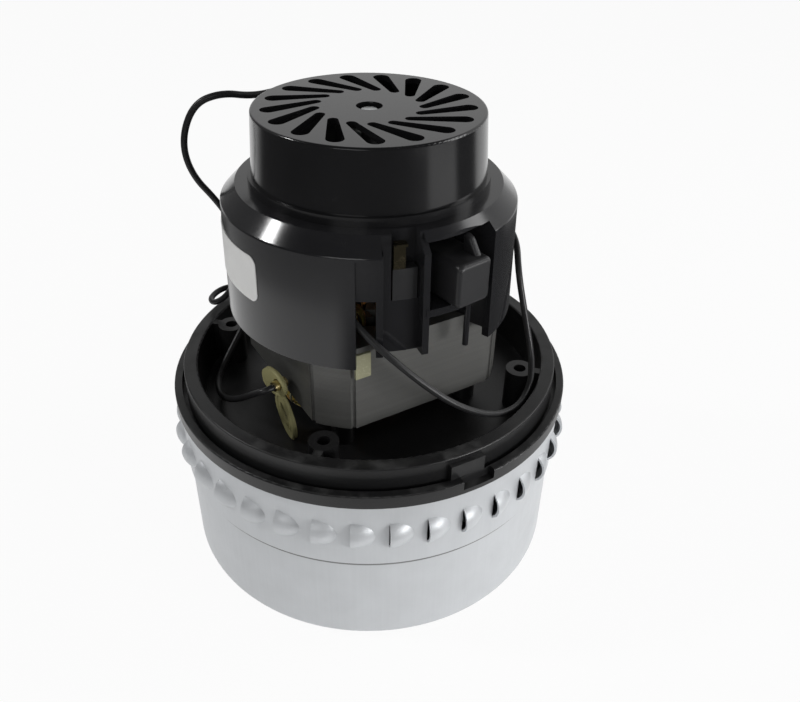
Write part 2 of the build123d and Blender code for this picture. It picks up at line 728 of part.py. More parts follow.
def ball_bearing(name, z, width, bore_r, outer_r, ring_t, ball_d, ball_count):
    """Deep-groove bearing as rings, balls, cage and shields."""
    mid_z = z + width / 2
    inner_r = bore_r + ring_t
    race_r = outer_r - ring_t
    pitch_r = (bore_r + outer_r) / 2
    groove_r = ball_d / 2 + BALL_PLAY
    for label, r_from, r_to in (("inner_ring", bore_r, inner_r), ("outer_ring", race_r, outer_r)):
        with BuildPart() as ring:
            with BuildSketch(level(z)):
                Circle(r_to)
                Circle(r_from, mode=Mode.SUBTRACT)
            extrude(amount=width)
            with BuildSketch(Plane.XZ):
                with Locations((pitch_r, mid_z)):
                    Circle(groove_r)
            revolve(axis=Axis.Z, mode=Mode.SUBTRACT)
        keep(ring.part, f"{name}_{label}")
    with BuildPart() as balls:
        with Locations(level(mid_z)):
            with PolarLocations(pitch_r, ball_count):
                Sphere(ball_d / 2)
    keep(balls.part, f"{name}_balls")
    cage_h = ball_d + CAGE_EXTRA
    with BuildPart() as cage:
        with BuildSketch(level(mid_z - cage_h / 2)):
            Circle(race_r - CAGE_GAP)
            Circle(inner_r + CAGE_GAP, mode=Mode.SUBTRACT)
        extrude(amount=cage_h)
        for place in range(ball_count):
            with BuildSketch(facing(360 / ball_count * place, inner_r, mid_z)):
                Circle(groove_r)
            extrude(amount=ring_t + pitch_r - inner_r, mode=Mode.SUBTRACT)
    keep(cage.part, f"{name}_cage")
    with BuildPart() as shields:
        for low in (z, z + width - SHIELD_T):
            with BuildSketch(level(low)):
                Circle(race_r)
                Circle(inner_r + SHIELD_GAP, mode=Mode.SUBTRACT)
            extrude(amount=SHIELD_T)
    keep(shields.part, f"{name}_shields")


UPPER_R = UPPER_OD / 2
ball_bearing(
    "lower_bearing", LOWER_Z, LOWER_W, SHAFT_CORE_R, LOWER_R, LOWER_RING_T, LOWER_BALL_D, LOWER_BALLS
)
ball_bearing(
    "upper_bearing", UPPER_Z, UPPER_W, SHAFT_FAN_R, UPPER_R, UPPER_RING_T, UPPER_BALL_D, UPPER_BALLS
)

# Plate that holds the lower bearing down, and its three screws
RETAINER_TOP = HUB_TOP + RETAINER_T
with BuildPart() as bearing_retainer:
    with BuildSketch(level(HUB_TOP, RETAINER_ANGLE)):
        Circle(HUB_R)
        Circle(LOWER_R - RETAINER_IN, mode=Mode.SUBTRACT)
        with PolarLocations(RETAINER_SCREW_R, RETAINER_SCREWS):
            Circle(SMALL_HOLE_R, mode=Mode.SUBTRACT)
    extrude(amount=RETAINER_T)
keep(bearing_retainer.part, "bearing_retainer")
with BuildPart() as retainer_screws:
    with BuildSketch(level(RETAINER_TOP, RETAINER_ANGLE)):
        with PolarLocations(RETAINER_SCREW_R, RETAINER_SCREWS):
            Circle(SMALL_HEAD_D / 2)
    extrude(amount=SMALL_HEAD_H)
    with BuildSketch(level(RETAINER_TOP, RETAINER_ANGLE)):
        with PolarLocations(RETAINER_SCREW_R, RETAINER_SCREWS):
            Circle(SMALL_SCREW_D / 2)
    extrude(amount=-SMALL_SCREW_L)
keep(retainer_screws.part, "retainer_screws")

# Rubber sleeve round the upper bearing
SLEEVE_R = UPPER_R + SLEEVE_T
bearing_sleeve = turned(
    [(UPPER_R, UPPER_Z), (SLEEVE_R, UPPER_Z), (SLEEVE_R, UPPER_TOP), (UPPER_R, UPPER_TOP)]
)
keep(bearing_sleeve, "bearing_sleeve")

# Motor shell: skin, land, bearing hub, screw columns and the two brush bays
SHELL_TOP_R = SHELL_R - SHELL_DRAFT
SHELL_IN_R = SHELL_R - SHELL_T
PLATE_LOW = LAND_Z - PLATE_T
UPPER_HUB_R = SLEEVE_R + UPPER_HUB_WALL
UPPER_HUB_TOP = UPPER_TOP + UPPER_HUB_LIP
HOLDER_LOW = BRUSH_Z - BRUSH_H / 2 - BRUSH_SIDE_GAP - TUBE_T - BOX_T
BAY_REACH = SHELL_TOP_R + BAY_PAST


def shell_radius(z):
    """Outer radius of the slightly tapered shell wall at a height."""
    return SHELL_R - SHELL_DRAFT * (z - SHELL_BOTTOM) / (SHOULDER_Z - SHELL_BOTTOM)


PLATE_MID = LAND_Z - PLATE_T / 2
WALL_MID_R = SHELL_R - SHELL_T / 2
INSET_BOTTOM = SHELL_BOTTOM + INSET_RISE
INSET_IN = INSET_R - SHELL_T
RIB_OUT = SHELL_R - RIB_INSET
RIB_IN = INSET_R - RIB_DEPTH
WEB_R = SHELL_R - WEB_DEPTH
WINDOW_OUT = COVER_BASE_R - COVER_T - WINDOW_EDGE
LEAD_SLOT_TOP = SHELL_BOTTOM + LEAD_SLOT_H
LEDGE_Z = BRUSH_Z - LEDGE_DROP
POCKET_IN = POCKET_R - LEDGE_T
LEDGE_LOW = LEDGE_Z - LEDGE_T
DECK_IN = BOX_IN - DECK_EDGE
DECK_LOW = HOLDER_LOW - DECK_T
LEG_OUT = SHELL_R - LEG_INSET
LEG_LOW = STACK_TOP - LEG_DOWN
BRIDGE_FLAT = SHELL_R - BRIDGE_INSET
BRIDGE_ANGLE = (RIB_ANGLE + WALL_START) / 2
BRIDGE_HALF = BRIDGE_FLAT * tan(radians(WALL_START - BRIDGE_ANGLE))

# Upright walls inside the shell, cut to end within its skin
with BuildPart() as shell_walls:
    for side in (0, 180):
        with BuildSketch(level(INSET_BOTTOM, LEAD_SLOT_END + side)):
            with Locations((INSET_IN, 0)):
                Rectangle(WEB_R - INSET_IN, RETURN_T, align=(Align.MIN, Align.MIN))
        extrude(amount=SHOULDER_Z - INSET_BOTTOM)
        with BuildSketch(level(INSET_BOTTOM, RIB_ANGLE + side)):
            with Locations((RIB_IN, 0)):
                Rectangle(RIB_OUT - RIB_IN, RIB_T, align=(Align.MIN, Align.CENTER))
        extrude(amount=PLATE_MID - INSET_BOTTOM)
        with BuildSketch(level(INSET_BOTTOM, WALL_START + side)):
            with Locations((RIB_IN, 0)):
                Rectangle(SHELL_R - RIB_IN, RETURN_T, align=(Align.MIN, Align.MIN))
        extrude(amount=PLATE_MID - INSET_BOTTOM)
    with BuildSketch(level(STACK_TOP, FRAME_ANGLE)):
        with PolarLocations(SCREW_PITCH_R, 4):
            Circle(COLUMN_D / 2)
            Rectangle(SHELL_R - SCREW_PITCH_R, BOSS_RIB_T, align=(Align.MIN, Align.CENTER))
    extrude(amount=PLATE_MID - STACK_TOP)
    with BuildSketch(Plane.XZ):
        with BuildLine():
            Polyline(
                (0, SHELL_BOTTOM),
                (WALL_MID_R, SHELL_BOTTOM),
                (WALL_MID_R - SHELL_DRAFT, SHOULDER_Z - SHELL_T / 4),
                (LAND_R - SHELL_T / 4, PLATE_MID),
                (0, PLATE_MID),
                close=True,
            )
        make_face()
    revolve(axis=Axis.Z, mode=Mode.INTERSECT)

with BuildPart() as motor_shell:
    with BuildSketch(Plane.XZ):
        with BuildLine():
            Polyline(
                (SHELL_IN_R, SHELL_BOTTOM),
                (SHELL_R, SHELL_BOTTOM),
                (SHELL_TOP_R, SHOULDER_Z),
                (LAND_R, LAND_Z),
                (SLEEVE_R, LAND_Z),
                (SLEEVE_R, PLATE_LOW),
                (LAND_R - SHELL_T / 2, PLATE_LOW),
                (SHELL_TOP_R - SHELL_T, SHOULDER_Z - SHELL_T / 2),
                close=True,
            )
        make_face()
    revolve(axis=Axis.Z)
    fillet(rims(motor_shell, SHELL_TOP_R, SHOULDER_Z), radius=SHOULDER_ROUND)
    with BuildSketch(Plane.XZ):
        with BuildLine():
            Polyline(
                (SLEEVE_R, UPPER_Z - HUB_DROP),
                (UPPER_HUB_R, UPPER_Z - HUB_DROP),
                (UPPER_HUB_R, UPPER_HUB_TOP),
                (UPPER_R - UPPER_HUB_LIP_IN, UPPER_HUB_TOP),
                (UPPER_R - UPPER_HUB_LIP_IN, UPPER_TOP),
                (SLEEVE_R, UPPER_TOP),
                close=True,
            )
        make_face()
    revolve(axis=Axis.Z)
    for quarter in range(4):
        window_mid = FRAME_ANGLE + 45 + 90 * quarter
        window_from = window_mid - WINDOW_SPAN / 2
        window_to = window_mid + WINDOW_SPAN / 2
        low, high = PLATE_LOW - PAST, LAND_Z + PAST
        add(sector(WINDOW_IN, WINDOW_OUT, low, high, window_from, window_to), mode=Mode.SUBTRACT)
    for side in (0, 180):
        wall_end, wall_start = WALL_END + side, WALL_START + side
        rib_angle, slot_end = RIB_ANGLE + side, LEAD_SLOT_END + side
        pocket_from, pocket_to = POCKET_FROM + side, POCKET_TO + side
        below, above = SHELL_BOTTOM - PAST, LAND_Z + PAST
        rim_low, rim_end = SHOULDER_Z - RIM_T, RIM_END + side
        add(sector(INSET_R, BAY_REACH, below, rim_low, wall_end, rib_angle), mode=Mode.SUBTRACT)
        add(sector(INSET_R, BAY_REACH, below, above, rim_end, rib_angle), mode=Mode.SUBTRACT)
        add(sector(INSET_R, BAY_REACH, below, PLATE_LOW, rib_angle, wall_start), mode=Mode.SUBTRACT)
        with BuildSketch(facing(BRIDGE_ANGLE + side, BRIDGE_FLAT, PLATE_LOW - PAST)):
            Rectangle(2 * BRIDGE_HALF, PLATE_T + 2 * PAST, align=(Align.CENTER, Align.MIN))
        extrude(amount=BAY_REACH - BRIDGE_FLAT, mode=Mode.SUBTRACT)
        add(sector(INSET_IN, INSET_R, INSET_BOTTOM, PLATE_LOW, slot_end, rib_angle))
        add(sector(POCKET_R, BAY_REACH, LEDGE_Z, above, pocket_from, pocket_to), mode=Mode.SUBTRACT)
        side_from = pocket_from - POCKET_SIDE
        add(sector(POCKET_IN, POCKET_R, LEDGE_LOW, PLATE_MID, side_from, rib_angle))
        add(sector(POCKET_IN, INSET_R, LEDGE_LOW, LEDGE_Z, side_from, rib_angle))
        add(sector(POCKET_IN, INSET_R, LEDGE_Z, PLATE_MID, side_from, pocket_from))
        web_in = WEB_R - SHELL_T
        web_from, web_to = wall_end - WEB_BITE, slot_end + TURN_PAST
        add(sector(web_in, WEB_R, LEAD_SLOT_TOP, SHOULDER_Z, web_from, web_to))
        deck_to = wall_start + TURN_PAST
        add(sector(DECK_IN, WALL_MID_R, DECK_LOW, HOLDER_LOW, rib_angle, deck_to))
        with BuildSketch(level(DECK_LOW + DECK_T / 2, LEG_ANGLE + side)):
            with Locations((LEG_OUT, 0)):
                Circle(LEG_D / 2)
        extrude(amount=LEG_LOW - DECK_LOW - DECK_T / 2)
    add(shell_walls.part)
    with BuildSketch(level(SHELL_BOTTOM - PAST, POLE_ANGLE)):
        Circle(STATOR_CORNER_R + STACK_PLAY)
        stack_w = 2 * (STATOR_FLAT + STACK_PLAY)
        Rectangle(stack_w, stack_w, mode=Mode.INTERSECT)
    extrude(amount=STACK_TOP - SHELL_BOTTOM + PAST, mode=Mode.SUBTRACT)
    with BuildSketch(level(STACK_TOP, FRAME_ANGLE)):
        with PolarLocations(SCREW_PITCH_R, 4):
            Circle(SCREW_HOLE_R)
    extrude(amount=LAND_Z - STACK_TOP + PAST, mode=Mode.SUBTRACT)
    with BuildSketch(level(LAND_Z, FRAME_ANGLE)):
        with PolarLocations(SCREW_PITCH_R, 4):
            Circle(SCREW_HEAD_D / 2 + SCREW_HOLE_GAP)
    extrude(amount=-SCREW_SINK - SCREW_HEAD_H, mode=Mode.SUBTRACT)
keep(motor_shell.part, "motor_shell")

# Four long screws that hold shell and stator down on the bracket
HEAD_LOW = LAND_Z - SCREW_SINK - SCREW_HEAD_H
with BuildPart() as through_screws:
    with BuildSketch(level(SCREW_TIP, FRAME_ANGLE)):
        with PolarLocations(SCREW_PITCH_R, 4):
            Circle(SCREW_D / 2)
    extrude(amount=HEAD_LOW - SCREW_TIP)
    with BuildSketch(level(HEAD_LOW, FRAME_ANGLE)):
        with PolarLocations(SCREW_PITCH_R, 4):
            Circle(SCREW_HEAD_D / 2)
    extrude(amount=SCREW_HEAD_H)
    with BuildSketch(level(HEAD_LOW + SCREW_HEAD_H, FRAME_ANGLE)):
        with PolarLocations(SCREW_PITCH_R, 4):
            Rectangle(SCREW_HEAD_D, SCREW_SLOT)
    extrude(amount=-SCREW_SLOT, mode=Mode.SUBTRACT)
keep(through_screws.part, "through_screws")

# Fan cover with its swirl of slots
SWIRL_OUT = COVER_TOP_R - SWIRL_EDGE
with BuildSketch() as swirl_slot:
    with Locations(polar(SWIRL_IN, -SWIRL_SWEEP)):
        Circle(SWIRL_IN_W / 2)
    with Locations((SWIRL_OUT, 0)):
        Circle(SWIRL_OUT_W / 2)
    make_hull()
STEP_TOP = LAND_Z + COVER_STEP_H
with BuildPart() as fan_cover:
    with BuildSketch(Plane.XZ):
        with BuildLine():
            Polyline(
                (COVER_BASE_R - COVER_T, LAND_Z),
                (COVER_BASE_R + COVER_STEP, LAND_Z),
                (COVER_BASE_R + COVER_STEP, STEP_TOP),
                (COVER_BASE_R, STEP_TOP),
                (COVER_TOP_R, TOP_Z),
                (COVER_HOLE_D / 2, TOP_Z),
                (COVER_HOLE_D / 2, COVER_UNDER),
                (COVER_TOP_R - COVER_T, COVER_UNDER),
                (COVER_BASE_R - COVER_T, STEP_TOP),
                close=True,
            )
        make_face()
    revolve(axis=Axis.Z)
    fillet(rims(fan_cover, COVER_TOP_R, TOP_Z), radius=COVER_EDGE)
    with BuildSketch(level(TOP_Z + PAST, SWIRL_START)):
        with PolarLocations(0, SWIRL_COUNT):
            add(swirl_slot.sketch)
    extrude(amount=-COVER_T - 2 * PAST, mode=Mode.SUBTRACT)
keep(fan_cover.part, "fan_cover")

# Cooling fan under the cover, and its nut
FAN_LOW = UPPER_HUB_TOP + FAN_GAP
with BuildPart() as cooling_fan:
    with BuildSketch(level(UPPER_TOP)):
        Circle(FAN_NECK_R)
    extrude(amount=FAN_LOW - UPPER_TOP + FAN_DISC_T / 2)
    with BuildSketch(level(FAN_LOW)):
        Circle(FAN_R)
    extrude(amount=FAN_DISC_T)
    with BuildSketch(level(FAN_LOW)):
        Circle(FAN_HUB_R)
    extrude(amount=FAN_HUB_TOP - FAN_LOW)
    with BuildSketch(level(FAN_LOW + FAN_DISC_T / 2)):
        for place in range(FAN_BLADES):
            turn = 360 / FAN_BLADES * place
            vane(FAN_BLADE_IN, FAN_R - FAN_BLADE_T, turn, FAN_BLADE_TURN, FAN_BLADE_T)
    extrude(amount=FAN_TOP - FAN_LOW - FAN_DISC_T / 2)
    with BuildSketch(level(UPPER_TOP - PAST)):
        Circle(SHAFT_FAN_R)
    extrude(amount=FAN_HUB_TOP - UPPER_TOP + 2 * PAST, mode=Mode.SUBTRACT)
keep(cooling_fan.part, "cooling_fan")


def hex_nut(low, high, across, bore_r):
    """Six-sided nut between two heights."""
    with BuildPart() as nut:
        with BuildSketch(level(low)):
            RegularPolygon(across / 2, 6, major_radius=False)
            Circle(bore_r, mode=Mode.SUBTRACT)
        extrude(amount=high - low)
    return nut.part


keep(hex_nut(FAN_HUB_TOP, FAN_HUB_TOP + NUT_H, NUT_ACROSS, SHAFT_FAN_R), "fan_nut")


def impeller(low, name):
    """Riveted impeller: a plate with the eye, a plate on the shaft and curved blades."""
    blade_low = low + IMPELLER_SHEET
    back_low = blade_low + IMPELLER_GAP
    with BuildPart() as eye_plate:
        with BuildSketch(level(low)):
            Circle(IMPELLER_R)
            Circle(IMPELLER_EYE_R, mode=Mode.SUBTRACT)
        extrude(amount=IMPELLER_SHEET)
        with BuildSketch(level(blade_low)):
            Circle(IMPELLER_EYE_R + IMPELLER_SHEET)
            Circle(IMPELLER_EYE_R, mode=Mode.SUBTRACT)
        extrude(amount=-IMPELLER_SHEET - EYE_LIP)
    keep(eye_plate.part, f"{name}_eye_plate")
    with BuildPart() as blades:
        with BuildSketch(level(blade_low)):
            for place in range(IMPELLER_BLADES):
                turn = 360 / IMPELLER_BLADES * place
                blade_in = IMPELLER_EYE_R + IMPELLER_BLADE_INSET
                blade_out = IMPELLER_R - IMPELLER_BLADE_EDGE
                vane(blade_in, blade_out, turn, IMPELLER_BLADE_TURN, IMPELLER_SHEET)
        extrude(amount=IMPELLER_GAP)
    keep(blades.part, f"{name}_blades")
    with BuildPart() as back_plate:
        with BuildSketch(level(back_low)):
            Circle(IMPELLER_R)
            Circle(SHAFT_FAN_R, mode=Mode.SUBTRACT)
        extrude(amount=IMPELLER_SHEET)
    keep(back_plate.part, f"{name}_back_plate")


impeller(IMPELLER_1_Z, "impeller_first")
impeller(IMPELLER_2_Z, "impeller_second")

# Spacers, washer and nut that clamp the impellers on the shaft
with BuildPart() as shaft_spacers:
    for low, high in ((BACK_1_TOP, BACK_2_TOP - IMPELLER_SHEET), (BACK_2_TOP, LOWER_Z)):
        with BuildSketch(level(low)):
            Circle(SPACER_R)
            Circle(SHAFT_FAN_R, mode=Mode.SUBTRACT)
        extrude(amount=high - low)
keep(shaft_spacers.part, "shaft_spacers")
impeller_washer = turned(
    [
        (SHAFT_FAN_R, WASHER_Z),
        (WASHER_R, WASHER_Z),
        (WASHER_R, WASHER_Z + WASHER_T),
        (SHAFT_FAN_R, WASHER_Z + WASHER_T),
    ]
)
keep(impeller_washer, "impeller_washer")
impeller_nut = hex_nut(IMPELLER_NUT_Z, WASHER_Z, IMPELLER_NUT_ACROSS, SHAFT_FAN_R)
keep(impeller_nut, "impeller_nut")

# Fixed guide vanes that bring the air back to the second impeller's eye
with BuildPart() as guide_plate:
    with BuildSketch(level(GUIDE_Z)):
        Circle(GUIDE_R)
        Circle(GUIDE_BORE_R, mode=Mode.SUBTRACT)
    extrude(amount=IMPELLER_SHEET)
    with BuildSketch(level(GUIDE_Z + IMPELLER_SHEET / 2)):
        for place in range(GUIDE_VANES):
            turn = 360 / GUIDE_VANES * place
            vane(GUIDE_VANE_IN, GUIDE_R - GUIDE_VANE_T, turn, -GUIDE_VANE_TURN, GUIDE_VANE_T)
    extrude(amount=GUIDE_H + IMPELLER_SHEET / 2)
keep(guide_plate.part, "guide_plate")

# Cup between the stages, hung from the rim of the lower can
CUP_R = CAN_IN_R - STAGE_RIM_GAP
stage_cup = turned(
    [
        (STAGE_EYE_R, GUIDE_TOP),
        (CUP_R, GUIDE_TOP),
        (CUP_R, CAN_TOP),
        (CAN_R - STAGE_RIM_GAP, CAN_TOP),
        (CAN_R - STAGE_RIM_GAP, CAN_TOP + IMPELLER_SHEET),
        (CUP_R - IMPELLER_SHEET, CAN_TOP + IMPELLER_SHEET),
        (CUP_R - IMPELLER_SHEET, GUIDE_TOP + IMPELLER_SHEET),
        (STAGE_EYE_R, GUIDE_TOP + IMPELLER_SHEET),
    ]
)
keep(stage_cup, "stage_cup")

# Carbon brushes, which slide outward in their tubes
BRUSH_IN = COMM_R + BRUSH_GAP
BRUSH_OUT = BRUSH_IN + BRUSH_L
END_WALL = BOX_OUT - BOX_END_T


def carbon_brush(turn):
    """Brush block with its inner end hollowed to the commutator's curve."""
    with BuildPart() as block:
        with BuildSketch(facing(turn, 0, BRUSH_Z)):
            Rectangle(BRUSH_W, BRUSH_H)
        extrude(amount=BRUSH_OUT)
        with BuildSketch(level(BRUSH_Z - BRUSH_H)):
            Circle(BRUSH_IN)
        extrude(amount=2 * BRUSH_H, mode=Mode.SUBTRACT)
    return block.part


def pressure_spring(turn):
    """Plain sleeve in the space of the hidden coil spring behind a brush."""
    with BuildPart() as coil:
        with BuildSketch(facing(turn, BRUSH_OUT, BRUSH_Z)):
            Circle(SPRING_D / 2)
            Circle(SPRING_D / 2 - SPRING_WIRE, mode=Mode.SUBTRACT)
        extrude(amount=END_WALL - BRUSH_OUT)
    return coil.part


def shunt_wire(turn):
    """Braid inside the spring, from the brush to the end of its tube."""
    with BuildPart() as braid:
        with BuildSketch(facing(turn, BRUSH_OUT, BRUSH_Z)):
            Circle(SHUNT_D / 2)
        extrude(amount=END_WALL - BRUSH_OUT)
    return braid.part


for label, side in (("front", 0), ("rear", 180)):
    keep(carbon_brush(BRUSH_ANGLE + side), f"brush_{label}")
    keep(pressure_spring(BRUSH_ANGLE + side), f"brush_spring_{label}")
    keep(shunt_wire(BRUSH_ANGLE + side), f"brush_shunt_{label}")

# Brass brush tubes and the plastic boxes round them
TUBE_IN = COMM_R + TUBE_CLEAR
TUBE_BORE_W = BRUSH_W + 2 * BRUSH_SIDE_GAP
TUBE_BORE_H = BRUSH_H + 2 * BRUSH_SIDE_GAP
TUBE_W = TUBE_BORE_W + 2 * TUBE_T
TUBE_H = TUBE_BORE_H + 2 * TUBE_T
BOX_W = TUBE_W + 2 * BOX_SIDE_T
BOX_H = TUBE_H + 2 * BOX_T
with BuildPart() as brush_tubes:
    for side in (0, 180):
        with BuildSketch(facing(BRUSH_ANGLE + side, TUBE_IN, BRUSH_Z)):
            Rectangle(TUBE_W, TUBE_H)
            Rectangle(TUBE_BORE_W, TUBE_BORE_H, mode=Mode.SUBTRACT)
        extrude(amount=END_WALL - TUBE_IN)
keep(brush_tubes.part, "brush_tubes")
with BuildPart() as brush_boxes:
    for side in (0, 180):
        with BuildSketch(facing(BRUSH_ANGLE + side, BOX_IN, BRUSH_Z)):
            RectangleRounded(BOX_W, BOX_H, BOX_ROUND)
            Rectangle(TUBE_W, TUBE_H, mode=Mode.SUBTRACT)
        extrude(amount=END_WALL - BOX_IN)
        with BuildSketch(facing(BRUSH_ANGLE + side, END_WALL, BRUSH_Z)):
            RectangleRounded(BOX_W, BOX_H, BOX_ROUND)
        extrude(amount=BOX_END_T)
        end_axis = Axis((0, 0, BRUSH_Z), (*polar(1, BRUSH_ANGLE + side), 0))
        fillet(brush_boxes.faces().sort_by(end_axis)[-1].edges(), radius=BOX_END_ROUND)
keep(brush_boxes.part, "brush_boxes")

# Terminal blocks in their pockets, each with a folded brass clip on top
POCKET_MID = (POCKET_FROM + POCKET_TO) / 2
TERMINAL_TOP = LEDGE_Z + TERMINAL_H
play_turn = degrees(TERMINAL_PLAY / POCKET_R)
with BuildPart() as terminal_blocks:
    for side in (0, 180):
        block_from = POCKET_FROM + play_turn + side
        block_to = POCKET_TO - play_turn + side
        block_out = POCKET_R + TERMINAL_OUT
        add(sector(POCKET_R, block_out, LEDGE_Z, TERMINAL_TOP, block_from, block_to))
keep(terminal_blocks.part, "terminal_blocks")
CLIP_STAND = POCKET_R + TERMINAL_OUT - CLIP_T
with BuildPart() as terminal_clips:
    for side in (0, 180):
        clip_base = facing(POCKET_MID + side, CLIP_STAND, TERMINAL_TOP)
        fold_top = TERMINAL_TOP + CLIP_RISE
        with BuildSketch(clip_base):
            with Locations((CLIP_SHIFT, 0)):
                Rectangle(CLIP_W, CLIP_RISE, align=(Align.CENTER, Align.MIN))
        extrude(amount=CLIP_T)
        with BuildSketch(clip_base):
            with Locations((CLIP_SHIFT, 0)):
                Rectangle(CLIP_W, CLIP_T, align=(Align.CENTER, Align.MIN))
        extrude(amount=CLIP_T - CLIP_OUT)
        with BuildSketch(facing(POCKET_MID + side, CLIP_STAND, fold_top - CLIP_T)):
            with Locations((CLIP_SHIFT, 0)):
                Rectangle(CLIP_W, CLIP_T, align=(Align.CENTER, Align.MIN))
        extrude(amount=CLIP_FOLD)
keep(terminal_clips.part, "terminal_clips")

# Bare rating label wrapped on the shell
LABEL_HIGH = SHOULDER_Z - LABEL_DROP
LABEL_LOW = LABEL_HIGH - LABEL_H
with BuildPart() as rating_label:
    with BuildSketch(Plane.XZ.rotated((0, 0, LABEL_FROM))):
        with BuildLine():
            Polyline(
                (shell_radius(LABEL_LOW), LABEL_LOW),
                (shell_radius(LABEL_LOW) + LABEL_T, LABEL_LOW),
                (shell_radius(LABEL_HIGH) + LABEL_T, LABEL_HIGH),
                (shell_radius(LABEL_HIGH), LABEL_HIGH),
                close=True,
            )
        make_face()
    revolve(axis=Axis.Z, revolution_arc=LABEL_TO - LABEL_FROM)
    corners = rating_label.edges().filter_by(lambda edge: abs(edge.length - LABEL_T) < TINY)
    fillet(corners, radius=LABEL_ROUND)
keep(rating_label.part, "rating_label")

# Leads: the points of each route as (radius, angle, height)
RIGHT_ROUTE = [
    (44.3, 263.2, 115.6),
    (47.2, 268.5, 112.0),
    (50.4, 275.9, 107.0),
    (53.3, 286.6, 97.6),
    (56.5, 299.0, 86.6),
    (59.4, 313.0, 77.6),
    (60.9, 326.5, 73.4),
    (61.0, 337.0, 74.8),
    (60.6, 341.2, 78.9),
    (59.0, 346.0, 84.5),
    (55.4, 349.5, 97.0),
    (51.8, 352.6, 111.0),
    (51.3, 363.0, 120.6),
    (52.2, 384.0, 119.5),
    (53.3, 404.0, 112.0),
    (54.6, 422.0, 102.0),
    (55.6, 435.5, 95.8),
    (56.2, 442.8, 95.2),
    (55.9, 448.3, 100.4),
    (53.2, 449.3, 106.8),
    (48.4, 448.8, 112.6),
    (42.6, 448.4, 115.4),
]
LEFT_ROUTE = [
    (46.6, 101.0, 149.0),
    (46.6, 101.0, 156.0),
    (45.2, 107.0, 162.0),
    (43.4, 120.0, 164.0),
    (43.6, 134.0, 162.4),
    (46.0, 149.0, 162.4),
    (52.0, 159.5, 165.2),
    (61.0, 163.0, 161.5),
    (66.2, 164.5, 149.0),
    (64.6, 163.8, 136.8),
    (57.4, 161.0, 126.5),
    (54.2, 157.0, 116.0),
    (54.4, 154.5, 103.0),
    (56.2, 156.0, 93.0),
    (60.0, 158.0, 85.2),
    (65.3, 159.6, 81.4),
    (69.6, 156.5, 80.9),
    (70.1, 149.6, 80.9),
    (65.9, 144.8, 80.9),
    (58.6, 144.9, 80.9),
    (52.8, 148.7, 80.9),
    (49.8, 156.0, 80.6),
    (49.4, 163.6, 80.2),
    (51.2, 170.6, 75.8),
    (55.4, 179.0, 68.6),
    (57.6, 188.0, 66.2),
    (57.0, 198.0, 67.0),
    (54.8, 207.4, 71.0),
    (52.4, 215.0, 76.0),
    (51.2, 221.4, 80.6),
    (49.6, 225.1, 82.4),
    (46.5, 225.3, 82.4),
]


def lead(route, name):
    """Round lead along its route, with bends as wide as the runs allow."""
    points = [Vector(*polar(radius, turn), z) for radius, turn, z in route]
    runs = [b - a for a, b in zip(points, points[1:])]
    radii = []
    for before, after in zip(runs, runs[1:]):
        half_turn = radians(before.get_angle(after)) / 2
        radii.append(BEND_SHARE * min(before.length, after.length) / tan(half_turn))
    with BuildPart() as tube:
        with BuildLine() as path:
            FilletPolyline(*points, radius=radii)
        with BuildSketch(Plane(origin=points[0], z_dir=runs[0])):
            Circle(LEAD_D / 2)
        sweep(path=path.wires()[0])
    keep(tube.part, name)
    return [(points[0], points[0] - points[1]), (points[-1], points[-1] - points[-2])]


lead_ends = lead(RIGHT_ROUTE, "lead_wire_right") + lead(LEFT_ROUTE, "lead_wire_left")

# Push-on terminals at the ends of the leads
with BuildPart() as lead_terminals:
    for end, away in lead_ends:
        with BuildSketch(Plane(origin=end, z_dir=away)):
            Circle(PLUG_D / 2)
        extrude(amount=PLUG_L)
keep(lead_terminals.part, "lead_terminals")

# Varnished cloth tie of the left field coil, held by the left lead's terminal
with BuildPart() as coil_tie:
    with BuildSketch(facing(TIE_ANGLE, TIE_OUT)):
        with Locations((0, TIE_Z)):
            Ellipse(TIE_W / 2, TIE_H / 2)
        with Locations((TIE_LEAF_X, TIE_Z - TIE_LEAF_DROP)):
            Ellipse(TIE_LEAF_L / 2, TIE_LEAF_W / 2, rotation=TIE_LEAF_TURN)
            Ellipse(TIE_SLOT_L / 2, TIE_SLOT_W / 2, rotation=TIE_LEAF_TURN, mode=Mode.SUBTRACT)
        with Locations((TIE_HOLE_X, TIE_Z + TIE_HOLE_RISE)):
            Circle(TIE_HOLE_D / 2, mode=Mode.SUBTRACT)
    extrude(amount=TIE_T)
keep(coil_tie.part, "coil_tie")
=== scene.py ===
"""Looks of a two-stage vacuum motor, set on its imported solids.

Lengths are metres in the frame of the solids: Z is the motor's axis, upwards, and -Y is the side
that the camera sees. Angles are in degrees about Z, anticlockwise from above.
"""

import logging
import math
import random
from dataclasses import dataclass
from enum import Enum

import bpy
from mathutils import Matrix, Vector

